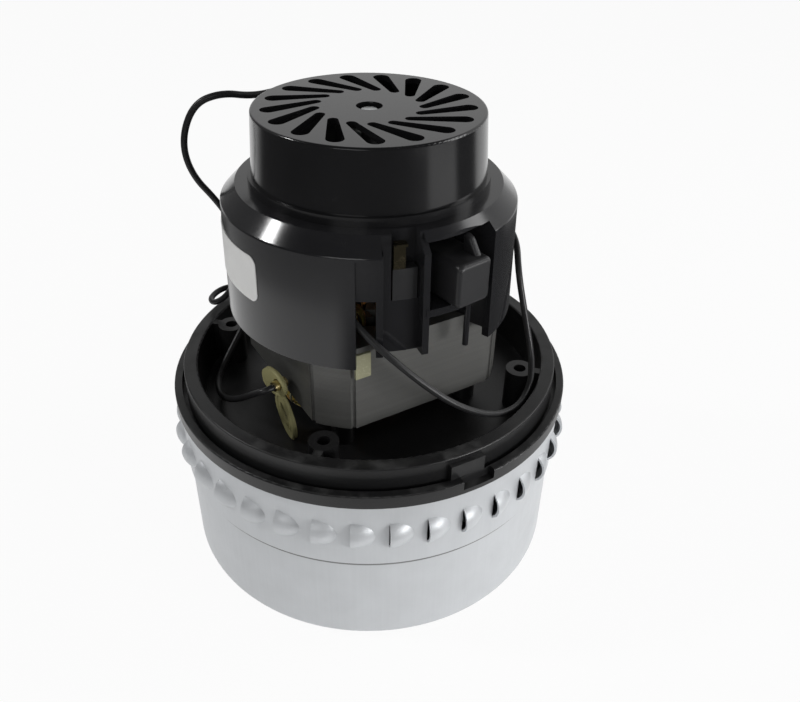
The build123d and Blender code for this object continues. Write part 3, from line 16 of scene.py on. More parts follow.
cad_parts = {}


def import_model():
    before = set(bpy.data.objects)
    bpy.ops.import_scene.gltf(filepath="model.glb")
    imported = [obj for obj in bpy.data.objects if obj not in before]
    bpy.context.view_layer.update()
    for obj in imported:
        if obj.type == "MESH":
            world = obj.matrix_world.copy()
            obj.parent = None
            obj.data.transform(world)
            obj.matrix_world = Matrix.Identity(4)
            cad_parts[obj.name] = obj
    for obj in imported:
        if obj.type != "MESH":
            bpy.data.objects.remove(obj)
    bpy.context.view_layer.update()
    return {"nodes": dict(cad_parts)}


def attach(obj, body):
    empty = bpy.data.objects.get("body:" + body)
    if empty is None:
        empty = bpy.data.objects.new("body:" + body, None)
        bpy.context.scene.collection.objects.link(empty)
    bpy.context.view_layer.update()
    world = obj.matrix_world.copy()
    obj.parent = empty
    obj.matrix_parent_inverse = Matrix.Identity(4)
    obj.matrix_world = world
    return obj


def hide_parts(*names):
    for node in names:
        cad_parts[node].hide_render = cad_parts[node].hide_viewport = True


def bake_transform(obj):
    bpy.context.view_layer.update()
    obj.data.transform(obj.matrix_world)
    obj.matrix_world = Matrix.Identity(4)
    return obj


LOG = logging.getLogger("vacuum_motor")
MM = 0.001
CORE_LOW = 74.5  # the laminated cores' lower ends, in millimetres
CORE_HIGH = 106.0  # and their upper ends
Colour = tuple[float, float, float]
Point = tuple[float, float, float]


def at(radius: float, turn: float, height: float) -> Vector:
    """Point at a radius and height in millimetres and an angle in degrees.

    Args:
        radius: distance from the motor's axis, in millimetres.
        turn: angle about the axis, in degrees.
        height: height above the floor, in millimetres.

    Returns:
        The point in metres.
    """
    angle = math.radians(turn)
    return Vector((radius * math.cos(angle), radius * math.sin(angle), height)) * MM


def directions(turn: float) -> tuple[Vector, Vector]:
    """Outward and sideways directions at an angle about the motor's axis."""
    angle = math.radians(turn)
    across = Vector((-math.sin(angle), math.cos(angle), 0.0))
    return Vector((math.cos(angle), math.sin(angle), 0.0)), across


# ---------------------------------------------------------------------------
# Shader maths
# ---------------------------------------------------------------------------


class Signal:
    """Output socket of a shader node that takes part in Python arithmetic."""

    def __init__(self, board: "Board", socket: bpy.types.NodeSocket) -> None:
        """Keeps the board that the socket is on, and the socket."""
        self.board = board
        self.socket = socket

    def _maths(self, operation: str, left: "Signal | float", right: "Signal | float") -> "Signal":
        """Adds one Math node to the board."""
        return self.board.node("ShaderNodeMath", {"operation": operation}, {0: left, 1: right})

    def __add__(self, other: "Signal | float") -> "Signal":
        """Sum."""
        return self._maths("ADD", self, other)

    def __radd__(self, other: float) -> "Signal":
        """Sum, number first."""
        return self._maths("ADD", other, self)

    def __sub__(self, other: "Signal | float") -> "Signal":
        """Difference."""
        return self._maths("SUBTRACT", self, other)

    def __rsub__(self, other: float) -> "Signal":
        """Difference, number first."""
        return self._maths("SUBTRACT", other, self)

    def __mul__(self, other: "Signal | float") -> "Signal":
        """Product."""
        return self._maths("MULTIPLY", self, other)

    def __rmul__(self, other: float) -> "Signal":
        """Product, number first."""
        return self._maths("MULTIPLY", other, self)

    def __truediv__(self, other: "Signal | float") -> "Signal":
        """Quotient."""
        return self._maths("DIVIDE", self, other)

    def __pow__(self, other: float) -> "Signal":
        """Power."""
        return self._maths("POWER", self, other)


class Board:
    """Node tree of one material or world, and the nodes that the finishes share."""

    def __init__(self, owner: bpy.types.Material | bpy.types.World) -> None:
        """Empties the owner's node tree.

        Args:
            owner: the material or world to draw on.
        """
        owner.use_nodes = True
        self.tree = owner.node_tree
        self.tree.nodes.clear()

    def node(
        self,
        kind: str,
        settings: dict | None = None,
        inputs: dict | None = None,
        output: int | str = 0,
    ) -> Signal:
        """Adds a node, its settings first and then its sockets.

        Args:
            kind: the node's Blender type.
            settings: its properties.
            inputs: values or signals by socket name or number.
            output: the output socket to return, by name or number.

        Returns:
            The chosen output.
        """
        made = self.tree.nodes.new(kind)
        for name, value in (settings or {}).items():
            setattr(made, name, value)
        for name, value in (inputs or {}).items():
            if isinstance(value, Signal):
                self.tree.links.new(value.socket, made.inputs[name])
            else:
                made.inputs[name].default_value = value
        return Signal(self, made.outputs[output] if made.outputs else None)

    def place(self) -> Signal:
        """Position on the object, in metres."""
        return self.node("ShaderNodeTexCoord", output="Object")

    def axis(self, vector: Signal, name: str) -> Signal:
        """One component of a vector, named X, Y or Z."""
        return self.node("ShaderNodeSeparateXYZ", inputs={0: vector}, output=name)

    def heading(self) -> Signal:
        """Angle about the motor's axis, in radians."""
        place = self.place()
        x, y = self.axis(place, "X"), self.axis(place, "Y")
        return self.node("ShaderNodeMath", {"operation": "ARCTAN2"}, {0: y, 1: x})

    def wrapped(self, around: float, up: float) -> Signal:
        """Coordinates that run round the motor and up it, each with its own fineness."""
        turn = self.heading() * around
        height = self.axis(self.place(), "Z") * up
        return self.node("ShaderNodeCombineXYZ", inputs={"X": turn, "Y": height})

    def noise(
        self,
        scale: float,
        detail: float = 2.0,
        place: Signal | None = None,
        roughness: float = 0.5,
    ) -> Signal:
        """Cloudy value from 0 to 1.

        Args:
            scale: features per metre.
            detail: octaves.
            place: coordinates, or None for the position on the object.
            roughness: how strong the finer octaves are.

        Returns:
            The cloudy value.
        """
        inputs = {
            "Vector": place or self.place(),
            "Scale": scale,
            "Detail": detail,
            "Roughness": roughness,
        }
        return self.node("ShaderNodeTexNoise", inputs=inputs)

    def between(self, value: Signal, low: float, high: float) -> Signal:
        """Smooth step from 0 at low to 1 at high."""
        settings = {"interpolation_type": "SMOOTHSTEP"}
        inputs = {"Value": value, "From Min": low, "From Max": high}
        return self.node("ShaderNodeMapRange", settings, inputs)

    def mix(self, mask: Signal | float, first: Colour | Signal, second: Colour | Signal) -> Signal:
        """Colour between two colours by a mask."""
        inputs = {0: mask}
        for slot, colour in ((6, first), (7, second)):
            inputs[slot] = colour if isinstance(colour, Signal) else (*colour, 1.0)
        return self.node("ShaderNodeMix", {"data_type": "RGBA"}, inputs, 2)

    def bump(self, height: Signal, depth: float, strength: float = 1.0) -> Signal:
        """Normal of a relief of a depth in metres."""
        inputs = {"Height": height, "Distance": depth, "Strength": strength}
        return self.node("ShaderNodeBump", inputs=inputs)

    def facing_up(self) -> Signal:
        """How far the surface faces upwards, from 0 to 1."""
        normal = self.node("ShaderNodeNewGeometry", output="Normal")
        return self.between(self.axis(normal, "Z"), 0.55, 0.95)

    def surface(self, inputs: dict) -> None:
        """Ends the board in one Principled shader."""
        shader = self.node("ShaderNodeBsdfPrincipled", inputs=inputs)
        self.node("ShaderNodeOutputMaterial", inputs={"Surface": shader})


# ---------------------------------------------------------------------------
# Finishes
# ---------------------------------------------------------------------------


@dataclass(frozen=True)
class Finish:
    """A surface finish, made once as a material."""

    name: str
    slot: str

    def material(self) -> bpy.types.Material:
        """Builds the material, or returns the one already made."""
        made = bpy.data.materials.get(self.name)
        if made is None:
            made = bpy.data.materials.new(self.name)
            self.draw(Board(made))
        return made

    def draw(self, board: Board) -> None:
        """Draws the finish on an empty board."""
        raise NotImplementedError


@dataclass(frozen=True)
class MouldedPlastic(Finish):
    """Black moulding with flow clouds, scuffs and a fine grain.

    Dust and painted sheen lie on its upper faces, further out than dust_and_sheen_from metres from
    the motor's axis.
    """

    colour: Colour = (0.010, 0.010, 0.011)
    roughness: float = 0.18
    grain: float = 0.00001
    dust_and_sheen: float = 0.05
    dust_and_sheen_from: float = 0.0
    shine: float = 0.5
    scuffed: float = 0.12

    def draw(self, board: Board) -> None:
        """Draws clouds, scuffs, dust and painted sheen on the upper faces and a fine grain."""
        clouds = board.noise(38.0, 3.0)
        scuffs = board.between(board.noise(420.0, 6.0, roughness=0.7), 0.62, 0.72)
        lighter = tuple(part * 1.9 + 0.004 for part in self.colour)
        dust_and_sheen_colour = (0.10, 0.10, 0.098)
        body = board.mix(clouds * 0.6, self.colour, lighter)
        place = board.place()
        x, y = board.axis(place, "X"), board.axis(place, "Y")
        outside = board.between((x * x + y * y) ** 0.5, self.dust_and_sheen_from - 0.001, self.dust_and_sheen_from)
        # Dust and painted sheen: the upper faces go lighter, and on the bracket's ring top this
        # stands in for its sheen.
        dust_and_sheen_mask = board.facing_up() * outside * board.between(board.noise(160.0, 5.0), 0.42, 0.75)
        shade = board.mix(dust_and_sheen_mask * self.dust_and_sheen, body, dust_and_sheen_colour)
        gloss = self.roughness + clouds * 0.07 + scuffs * self.scuffed + dust_and_sheen_mask * self.dust_and_sheen
        relief = board.bump(board.noise(1500.0, 4.0), self.grain)
        board.surface(
            {
                "Base Color": shade,
                "Roughness": gloss,
                "Specular IOR Level": self.shine,
                "Normal": relief,
            }
        )


@dataclass(frozen=True)
class DrawnSheet(Finish):
    """Zinc-coated sheet, drawn in a press: satin, faintly streaked and handled.

    The seam is the height in metres at which the upper can's edge meets the lower can.
    """

    colour: Colour = (0.59, 0.607, 0.625)
    metallic: float = 0.35
    roughness: float = 0.44
    seam: float = 0.0376

    def draw(self, board: Board) -> None:
        """Draws marks of the press up the wall, mottling, smears and painted shade in the seam."""
        draw_marks = board.noise(1.0, 4.0, board.wrapped(90.0, 18.0))
        mottle = board.noise(95.0, 4.0)
        spangle = board.noise(700.0, 2.0)
        smear = board.between(board.noise(24.0, 5.0, roughness=0.65), 0.56, 0.74)
        dull = tuple(part * 0.86 for part in self.colour)
        bright = tuple(min(1.0, part * 1.08) for part in self.colour)
        body = board.mix(mottle * 0.75 + draw_marks * 0.25, dull, bright)
        stained = board.mix(smear * 0.16, body, (0.40, 0.41, 0.41))
        # Painted shade: a thin dark line along the seam stands in for the shadow under the upper
        # can's edge.
        off_seam = board.axis(board.place(), "Z") - self.seam
        seam_shade = 1.0 - board.between((off_seam * off_seam) ** 0.5, 0.0005, 0.0009)
        lined = board.mix(seam_shade * 0.85, stained, (0.11, 0.11, 0.105))
        gloss = self.roughness + mottle * 0.10 - draw_marks * 0.08 + smear * 0.12
        relief = board.bump(draw_marks * 0.6 + spangle * 0.2 + mottle * 0.4, 0.00004, 0.5)
        board.surface(
            {
                "Base Color": lined,
                "Metallic": self.metallic,
                "Roughness": gloss,
                "Normal": relief,
            }
        )


@dataclass(frozen=True)
class LaminatedStack(Finish):
    """Edges of a stack of punched sheets, oiled and here and there tinted with rust.

    The pitch is one sheet's thickness in metres.
    """

    pitch: float = 0.0005
    colour: Colour = (0.18, 0.18, 0.172)

    def draw(self, board: Board) -> None:
        """Draws the sheet edges as fine lines, with tint, oil clouds and punch burr."""
        height = board.axis(board.place(), "Z") / self.pitch
        phase = board.node("ShaderNodeMath", {"operation": "PINGPONG"}, {0: height, 1: 0.5})
        line = board.between(phase, 0.02, 0.20)
        sheet = board.node("ShaderNodeMath", {"operation": "FLOOR"}, {0: height})
        level = board.node("ShaderNodeTexWhiteNoise", {"noise_dimensions": "1D"}, {"W": sheet})
        clouds = board.noise(140.0, 4.0)
        rust = board.between(board.noise(260.0, 6.0, roughness=0.7), 0.60, 0.78)
        dark = tuple(part * 0.66 for part in self.colour)
        body = board.mix(line * (0.72 + level * 0.28), dark, self.colour)
        oiled = board.mix(clouds * 0.30, body, (0.13, 0.13, 0.125))
        tinted = board.mix(rust * 0.22, oiled, (0.20, 0.12, 0.06))
        relief = board.bump(line + level * 0.4, 0.00003, 0.4)
        board.surface(
            {
                "Base Color": tinted,
                "Metallic": 0.60 - rust * 0.4,
                "Roughness": 0.36 + clouds * 0.14 + rust * 0.25,
                "Normal": relief,
            }
        )


@dataclass(frozen=True)
class VarnishedWire(Finish):
    """Enamelled copper under a pooled, yellowed dip varnish."""

    copper: Colour = (0.44, 0.19, 0.06)
    varnish: Colour = (0.34, 0.30, 0.07)
    pooled: float = 0.5

    def draw(self, board: Board) -> None:
        """Draws varnish pools over copper, glossy where they are thick."""
        pools = board.between(board.noise(230.0, 4.0), 0.5 - self.pooled * 0.3, 0.72)
        streaks = board.noise(900.0, 3.0)
        shade = board.mix(pools * 0.85 + streaks * 0.12, self.copper, self.varnish)
        darker = board.mix(board.between(streaks, 0.55, 0.8) * 0.5, shade, (0.07, 0.045, 0.015))
        board.surface(
            {
                "Base Color": darker,
                "Metallic": 0.55 - pools * 0.4,
                "Roughness": 0.36 - pools * 0.14,
                "Coat Weight": pools * 0.8,
                "Coat Roughness": 0.12,
                "Normal": board.bump(streaks + pools * 0.8, 0.00004, 0.6),
            }
        )


class Lay(Enum):
    """Fineness of a metal's marks, round the motor and up it."""

    ROUND = (4.0, 9000.0)
    CLOUDED = (120.0, 4000.0)


@dataclass(frozen=True)
class WorkedMetal(Finish):
    """Turned, ground, plated or pressed metal with its tool marks."""

    colour: Colour = (0.55, 0.56, 0.57)
    roughness: float = 0.28
    lay: Lay = Lay.ROUND
    tarnish: Colour = (0.30, 0.28, 0.25)
    tarnished: float = 0.25

    def draw(self, board: Board) -> None:
        """Draws tool marks along the lay and a thin tarnish."""
        around, up = self.lay.value
        marks = board.noise(1.0, 3.0, board.wrapped(around, up))
        film = board.between(board.noise(210.0, 5.0, roughness=0.6), 0.45, 0.75)
        body = tuple(part * 0.86 for part in self.colour)
        shade = board.mix(marks * 0.8, body, self.colour)
        board.surface(
            {
                "Base Color": board.mix(film * self.tarnished, shade, self.tarnish),
                "Metallic": 1.0,
                "Roughness": self.roughness + marks * 0.10 + film * 0.14,
                "Normal": board.bump(marks, 0.00002, 0.5),
            }
        )


@dataclass(frozen=True)
class Grained(Finish):
    """Non-metal with a speckle: carbon, rubber, resin, fibre board, paper or wire cover."""

    colour: Colour = (0.05, 0.05, 0.05)
    speckle: Colour = (0.12, 0.12, 0.12)
    fineness: float = 1800.0
    share: float = 0.35
    roughness: float = 0.55
    relief: float = 0.00004
    shine: float = 0.5

    def draw(self, board: Board) -> None:
        """Draws speckle over soft clouds with a matching relief."""
        grain = board.noise(self.fineness, 3.0)
        clouds = board.noise(110.0, 3.0)
        specks = board.between(grain, 0.52, 0.70)
        body = board.mix(clouds * 0.5, self.colour, tuple(part * 1.25 for part in self.colour))
        board.surface(
            {
                "Base Color": board.mix(specks * self.share, body, self.speckle),
                "Roughness": self.roughness + grain * 0.12 - clouds * 0.05,
                "Specular IOR Level": self.shine,
                "Normal": board.bump(grain, self.relief, 0.6),
            }
        )


COVER_PLASTIC = MouldedPlastic(
    "cover_black", "black_gloss_plastic", colour=(0.006, 0.006, 0.0065), roughness=0.13, dust_and_sheen=0.03
)
SHELL_PLASTIC = MouldedPlastic(
    "shell_black",
    "black_gloss_plastic",
    colour=(0.009, 0.009, 0.010),
    roughness=0.12,
    grain=0.000001,
    scuffed=0.02,
)
BRACKET_PLASTIC = MouldedPlastic(
    "bracket_black",
    "black_gloss_plastic",
    colour=(0.006, 0.006, 0.0063),
    roughness=0.34,
    grain=0.00003,
    # here the dust also paints the sheen on the ring top
    dust_and_sheen=0.32,
    dust_and_sheen_from=0.0615,
)
BOX_PLASTIC = MouldedPlastic(
    "brush_box_black",
    "black_box_plastic",
    colour=(0.012, 0.012, 0.013),
    roughness=0.38,
    grain=0.00003,
    dust_and_sheen=0.12,
)
FAN_PLASTIC = MouldedPlastic(
    "fan_black", "fan_plastic", colour=(0.04, 0.04, 0.042), roughness=0.40, dust_and_sheen=0.15
)
ZINC = DrawnSheet("zinc_coated_sheet", "zinc_sheet")
STACK = LaminatedStack("lamination_edges", "lamination_steel")
FIELD_WIRE = VarnishedWire("field_wire", "winding_copper", pooled=0.8)
ROTOR_WIRE = VarnishedWire("rotor_wire", "winding_copper", pooled=0.3)
GROUND = WorkedMetal("ground_shaft", "shaft_steel", roughness=0.20)
PLATED = WorkedMetal("zinc_plated", "plated_steel", colour=(0.66, 0.67, 0.66), lay=Lay.CLOUDED)
BEARING = WorkedMetal("bearing_race", "bearing_steel", colour=(0.62, 0.63, 0.65), roughness=0.14)
CAGE = WorkedMetal(
    "bearing_cage", "bearing_cage_brass", colour=(0.70, 0.52, 0.24), tarnish=(0.3, 0.2, 0.08)
)
BARS = WorkedMetal(
    "commutator_bar", "commutator_copper", colour=(0.78, 0.42, 0.27), tarnish=(0.2, 0.09, 0.05)
)
ALUMINIUM = WorkedMetal(
    "pressed_aluminium",
    "impeller_aluminium",
    colour=(0.74, 0.75, 0.76),
    roughness=0.34,
    lay=Lay.CLOUDED,
    tarnish=(0.5, 0.5, 0.49),
)
BRASS = WorkedMetal(
    "pressed_brass",
    "terminal_brass",
    colour=(0.80, 0.66, 0.34),
    lay=Lay.CLOUDED,
    tarnish=(0.35, 0.25, 0.10),
)
# Painted shade: a darker copy of the pressed brass. Its dark colour and heavy tarnish stand in for
# the shade of the recess round the clips.
SHADED_CLIP_BRASS = WorkedMetal(
    "shaded_dark_brass",
    "terminal_brass",
    colour=(0.22, 0.19, 0.12),
    roughness=0.16,
    lay=Lay.CLOUDED,
    tarnish=(0.10, 0.08, 0.05),
    tarnished=0.5,
)
CLOTH = Grained(
    "varnished_cloth",
    "varnished_cloth",
    colour=(0.045, 0.042, 0.017),
    speckle=(0.12, 0.115, 0.05),
    fineness=900.0,
    share=0.5,
    roughness=0.30,
    relief=0.00006,
)
RESIN = Grained("commutator_resin_brown", "commutator_resin", (0.16, 0.08, 0.04), (0.3, 0.2, 0.1))
RUBBER = Grained("sleeve_rubber", "rubber", (0.022, 0.022, 0.022), (0.05, 0.05, 0.05))
CARBON = Grained("pressed_carbon", "brush_carbon", (0.045, 0.045, 0.047), (0.2, 0.2, 0.2), 2600.0)
FIBRE = Grained(
    "fibre_board",
    "cream_insulation",
    colour=(0.25, 0.245, 0.155),
    speckle=(0.36, 0.355, 0.25),
    fineness=1300.0,
    share=0.6,
    roughness=0.48,
)
PAPER = Grained(
    "label_paper",
    "label_stock",
    colour=(0.66, 0.66, 0.65),
    speckle=(0.74, 0.74, 0.73),
    fineness=2400.0,
    share=0.5,
    roughness=0.42,
    relief=0.00001,
)
WIRE_COVER = Grained(
    "wire_cover",
    "lead_insulation",
    colour=(0.014, 0.014, 0.0147),
    speckle=(0.04, 0.04, 0.04),
    fineness=1500.0,
    share=0.3,
    roughness=0.32,
    relief=0.00002,
    shine=0.35,
)

FINISHED_NODES: tuple[tuple[Finish, tuple[str, ...]], ...] = (
    (ZINC, ("fan_shell_lower", "fan_shell_upper", "stage_cup")),
    (BRACKET_PLASTIC, ("end_bracket",)),
    (SHELL_PLASTIC, ("motor_shell",)),
    (COVER_PLASTIC, ("fan_cover",)),
    (BOX_PLASTIC, ("brush_boxes", "terminal_blocks")),
    (FAN_PLASTIC, ("cooling_fan",)),
    (STACK, ("stator_core", "armature_core")),
    (FIELD_WIRE, ("field_coil_left", "field_coil_right")),
    (ROTOR_WIRE, ("armature_winding",)),
    (FIBRE, ("insulation_tags",)),
    (GROUND, ("shaft", "shaft_spacers")),
    (PLATED, ("fan_nut", "impeller_nut", "impeller_washer", "bearing_retainer")),
    (PLATED, ("retainer_screws", "through_screws", "brush_spring_front", "brush_spring_rear")),
    (ALUMINIUM, tuple(f"impeller_first_{part}" for part in ("eye_plate", "blades", "back_plate"))),
    (ALUMINIUM, tuple(f"impeller_second_{part}" for part in ("eye_plate", "blades", "back_plate"))),
    (ALUMINIUM, ("guide_plate",)),
    (CAGE, ("lower_bearing_cage", "upper_bearing_cage")),
    (RUBBER, ("bearing_sleeve",)),
    (RESIN, ("commutator_hub",)),
    (BARS, ("commutator_bars", "brush_shunt_front", "brush_shunt_rear")),
    (CARBON, ("brush_front", "brush_rear")),
    (BRASS, ("brush_tubes", "lead_terminals")),
    (SHADED_CLIP_BRASS, ("terminal_clips",)),
    (CLOTH, ("coil_tie",)),
    (PAPER, ("rating_label",)),
    (WIRE_COVER, ("lead_wire_right", "lead_wire_left")),
)
NODE_FINISH = {node: finish for finish, nodes in FINISHED_NODES for node in nodes}


def dress(nodes: dict[str, bpy.types.Object]) -> None:
    """Gives every solid its finish. The bearings' rings, balls and shields have no row above.

    Args:
        nodes: the solids' objects by name.
    """
    for name, solid in nodes.items():
        finish = NODE_FINISH.get(name, BEARING)
        solid.data.materials.clear()
        solid.data.materials.append(finish.material())
    LOG.info("dressed %d solids", len(nodes))


# ---------------------------------------------------------------------------
# Modelling bench
# ---------------------------------------------------------------------------


class Bench:
    """Modelling steps that the sub-assemblies share."""

    WIRE_SMOOTH = 60.0  # degrees up to which a wire's edges look smooth

    @staticmethod
    def clear() -> None:
        """Leaves edit mode and deselects everything."""
        if bpy.context.object and bpy.context.object.mode != "OBJECT":
            bpy.ops.object.mode_set(mode="OBJECT")
        bpy.ops.object.select_all(action="DESELECT")

    @staticmethod
    def only(piece: bpy.types.Object) -> None:
        """Selects one object and makes it active."""
        Bench.clear()
        piece.select_set(True)
        bpy.context.view_layer.objects.active = piece

    @staticmethod
    def settle(piece: bpy.types.Object) -> None:
        """Puts the object's place, turn and size into its mesh."""
        Bench.only(piece)
        bpy.ops.object.transform_apply(location=True, rotation=True, scale=True)

    @staticmethod
    def modify(piece: bpy.types.Object, kind: str, **settings: object) -> None:
        """Adds a modifier and applies it.

        Args:
            piece: the mesh to change.
            kind: the modifier's Blender type.
            settings: the modifier's properties.
        """
        Bench.only(piece)
        modifier = piece.modifiers.new(kind.lower(), kind)
        for name, value in settings.items():
            setattr(modifier, name, value)
        bpy.ops.object.modifier_apply(modifier=modifier.name)

    @staticmethod
    def merge(pieces: list[bpy.types.Object], name: str) -> bpy.types.Object:
        """Joins meshes into one piece.

        Args:
            pieces: the meshes, at least one.
            name: the joined piece's name.

        Returns:
            The joined piece.
        """
        Bench.clear()
        for piece in pieces:
            piece.select_set(True)
        bpy.context.view_layer.objects.active = pieces[0]
        if len(pieces) > 1:
            bpy.ops.object.join()
        joined = bpy.context.object
        joined.name = name
        joined.data.name = name
        return joined

    @staticmethod
    def line(
        points: list[Vector],
        wire: float,
        closed: bool,
        sides: int,
        steps: int,
        name: str,
    ) -> bpy.types.Object:
        """Round wire on a smooth line, as a curve.

        Args:
            points: the control points, in metres.
            wire: the wire's diameter, in metres.
            closed: whether the line is a loop.
            sides: bevel resolution of the wire.
            steps: segments from one control point to the next.
            name: the curve's name.

        Returns:
            The wire, still a curve.
        """
        line = bpy.data.curves.new(name, "CURVE")
        line.dimensions = "3D"
        line.bevel_depth = wire / 2
        line.bevel_resolution = sides
        line.resolution_u = steps
        line.use_fill_caps = not closed
        spline = line.splines.new("NURBS")
        spline.points.add(len(points) - 1)
        for control, point in zip(spline.points, points):
            control.co = (*point, 1.0)
        spline.use_cyclic_u = closed
        spline.order_u = 3
        spline.use_endpoint_u = not closed
        piece = bpy.data.objects.new(name, line)
        bpy.context.scene.collection.objects.link(piece)
        return piece

    @staticmethod
    def strand(points: list[Vector], wire: float, closed: bool, sides: int) -> bpy.types.Object:
        """Round wire on a smooth line, as a mesh.

        Args:
            points: the control points, in metres.
            wire: the wire's diameter, in millimetres.
            closed: whether the line is a loop.
            sides: bevel resolution of the wire.

        Returns:
            The wire.
        """
        Bench.only(Bench.line(points, wire * MM, closed, sides, 3, "strand"))
        bpy.ops.object.convert(target="MESH")
        return bpy.context.object

    @staticmethod
    def bundle(strands: list[bpy.types.Object], name: str, look: Finish) -> bpy.types.Object:
        """Joins strands of wire or cord into one finished piece."""
        return Bench.finish(Bench.merge(strands, name), name, look, Bench.WIRE_SMOOTH)

    @staticmethod
    def finish(piece: bpy.types.Object, name: str, look: Finish, smooth: float) -> bpy.types.Object:
        """Names, shades and dresses a finished mesh.

        Args:
            piece: the mesh.
            name: its name in the object.
            look: its finish.
            smooth: the angle up to which edges look smooth, in degrees.

        Returns:
            The same piece.
        """
        piece.name = name
        piece.data.name = name
        piece.data.materials.clear()
        piece.data.materials.append(look.material())
        Bench.only(piece)
        bpy.ops.object.shade_smooth_by_angle(angle=math.radians(smooth))
        LOG.info("%s: %d faces", name, len(piece.data.polygons))
        return piece


# ---------------------------------------------------------------------------
# Studio
# ---------------------------------------------------------------------------


@dataclass
class Studio:
    """Camera, lamps, white surroundings and the pale floor.

    Gloss shows a dark floor with a bright card round the motor, which fades between two radii.
    Each patch further out has four angles and four radii: it brightens between the first two and
    fades between the last two.
    """

    eye: Point = (0.0, -0.248389, 0.245810)
    ahead: Point = (0.036778, 0.822009, -0.568286)
    right: Point = (0.999311, -0.033038, 0.016886)
    above: Point = (0.004895, 0.568515, 0.822658)
    focal_pixels: float = 800.0
    frame_pixels: float = 800.0
    sensor: float = 36.0
    card: tuple[float, float] = (0.143, 0.158)
    left_patch: tuple[float, ...] = (115.0, 138.0, 244.0, 258.0, 0.155, 0.175, 0.255, 0.285)
    left_haze: tuple[float, ...] = (130.0, 150.0, 255.0, 290.0, 0.24, 0.27, 0.36, 0.42)
    right_stripe: tuple[float, ...] = (321.0, 327.0, 353.0, 358.0, 0.38, 0.44, 0.72, 0.80)
    open_side: tuple[float, ...] = (22.0, 31.0, 134.0, 156.0, 0.30, 0.40, 3.0, 4.0)
    aim: Point = (0.0, 0.0, 0.09)
    soft_light: float = 0.36
    dark_gloss: float = 0.03
    bright_gloss: float = 0.68
    floor_gloss: float = 0.06
    floor_white: float = 0.93

    def camera(self) -> None:
        """Sets the camera at the photographed viewpoint."""
        lens = bpy.data.cameras.new("viewpoint")
        lens.sensor_fit = "HORIZONTAL"
        lens.sensor_width = self.sensor
        lens.lens = self.sensor * self.focal_pixels / self.frame_pixels
        lens.clip_start = 0.01
        lens.clip_end = 20.0
        held = bpy.data.objects.new("viewpoint", lens)
        bpy.context.scene.collection.objects.link(held)
        back = tuple(-part for part in self.ahead)
        turn = Matrix((self.right, self.above, back)).transposed().to_4x4()
        held.matrix_world = Matrix.Translation(self.eye) @ turn
        bpy.context.scene.camera = held

    def lamp(self, name: str, place: Point, size: tuple[float, float], watts: float) -> None:
        """Adds a soft box that points at the motor's middle."""
        box = bpy.data.lights.new(name, "AREA")
        box.shape = "RECTANGLE"
        box.size, box.size_y = size
        box.energy = watts
        held = bpy.data.objects.new(name, box)
        held.location = place
        towards = Vector(self.aim) - Vector(place)
        held.rotation_mode = "QUATERNION"
        held.rotation_quaternion = towards.to_track_quat("-Z", "Y")
        bpy.context.scene.collection.objects.link(held)

    def seen(self, board: Board) -> Signal:
        """1 on rays that show the surroundings themselves, and 0 on rays that only light."""
        direct = board.node("ShaderNodeLightPath", output="Is Camera Ray")
        glossy = board.node("ShaderNodeLightPath", output="Is Glossy Ray")
        through = board.node("ShaderNodeLightPath", output="Is Transmission Ray")
        return self.most(board, self.most(board, direct, glossy), through)

    @staticmethod
    def most(board: Board, first: Signal, second: Signal) -> Signal:
        """The larger of two signals."""
        return board.node("ShaderNodeMath", {"operation": "MAXIMUM"}, {0: first, 1: second})

    def world(self) -> None:
        """Soft white to light with and white in view; in gloss, dark above and in front."""
        world = bpy.data.worlds.new("surroundings")
        bpy.context.scene.world = world
        board = Board(world)
        plain = {"Color": (1.0, 1.0, 1.0, 1.0)}
        white = board.node("ShaderNodeBackground", inputs=plain)
        soft = board.node("ShaderNodeBackground", inputs=plain | {"Strength": self.soft_light})
        black = board.node("ShaderNodeBackground", inputs=plain | {"Strength": self.dark_gloss})
        way = board.node("ShaderNodeTexCoord", output="Generated")
        back = board.between(board.axis(way, "Y"), -0.30, 0.25)
        low = 1.0 - board.between(board.axis(way, "Z"), 0.50, 0.88)
        left = board.between(0.0 - board.axis(way, "X"), 0.35, 0.60)
        share = back * low * (1.0 - left * 0.75) * self.bright_gloss
        mirrored = board.node("ShaderNodeMixShader", inputs={0: share, 1: black, 2: white})
        glossy = board.node("ShaderNodeLightPath", output="Is Glossy Ray")
        lit = board.node("ShaderNodeMixShader", inputs={0: self.seen(board), 1: soft, 2: white})
        blend = board.node("ShaderNodeMixShader", inputs={0: glossy, 1: lit, 2: mirrored})
        board.node("ShaderNodeOutputWorld", inputs={"Surface": blend})

    @staticmethod
    def patch(board: Board, turn: Signal, out: Signal, edges: tuple[float, ...]) -> Signal:
        """1 inside a soft-edged patch of floor, given by its four angles and four radii."""
        a, b, c, d, near, close, wide, far = edges
        across = board.between(turn, a, b) * (1.0 - board.between(turn, c, d))
        return across * board.between(out, near, close) * (1.0 - board.between(out, wide, far))

    def floor(self) -> None:
        """Pale floor: white in view with the shadow kept, dark with bright patches in gloss."""
        Bench.clear()
        bpy.ops.mesh.primitive_plane_add(size=6.0, location=(0.0, 0.0, -0.0002))
        floor = bpy.context.object
        Bench.settle(floor)
        floor.name = "floor"
        look = bpy.data.materials.new("pale_floor")
        floor.data.materials.append(look)
        board = Board(look)
        matt = board.node("ShaderNodeBsdfDiffuse", inputs={"Color": (0.86, 0.86, 0.86, 1.0)})
        white = board.node("ShaderNodeEmission", inputs={"Strength": 1.0})
        dark = board.node("ShaderNodeEmission", inputs={"Strength": self.floor_gloss})
        direct = board.node("ShaderNodeLightPath", output="Is Camera Ray")
        glossy = board.node("ShaderNodeLightPath", output="Is Glossy Ray")
        place = board.place()
        x, y = board.axis(place, "X"), board.axis(place, "Y")
        out = (x * x + y * y) ** 0.5
        degrees = board.heading() * (180.0 / math.pi)
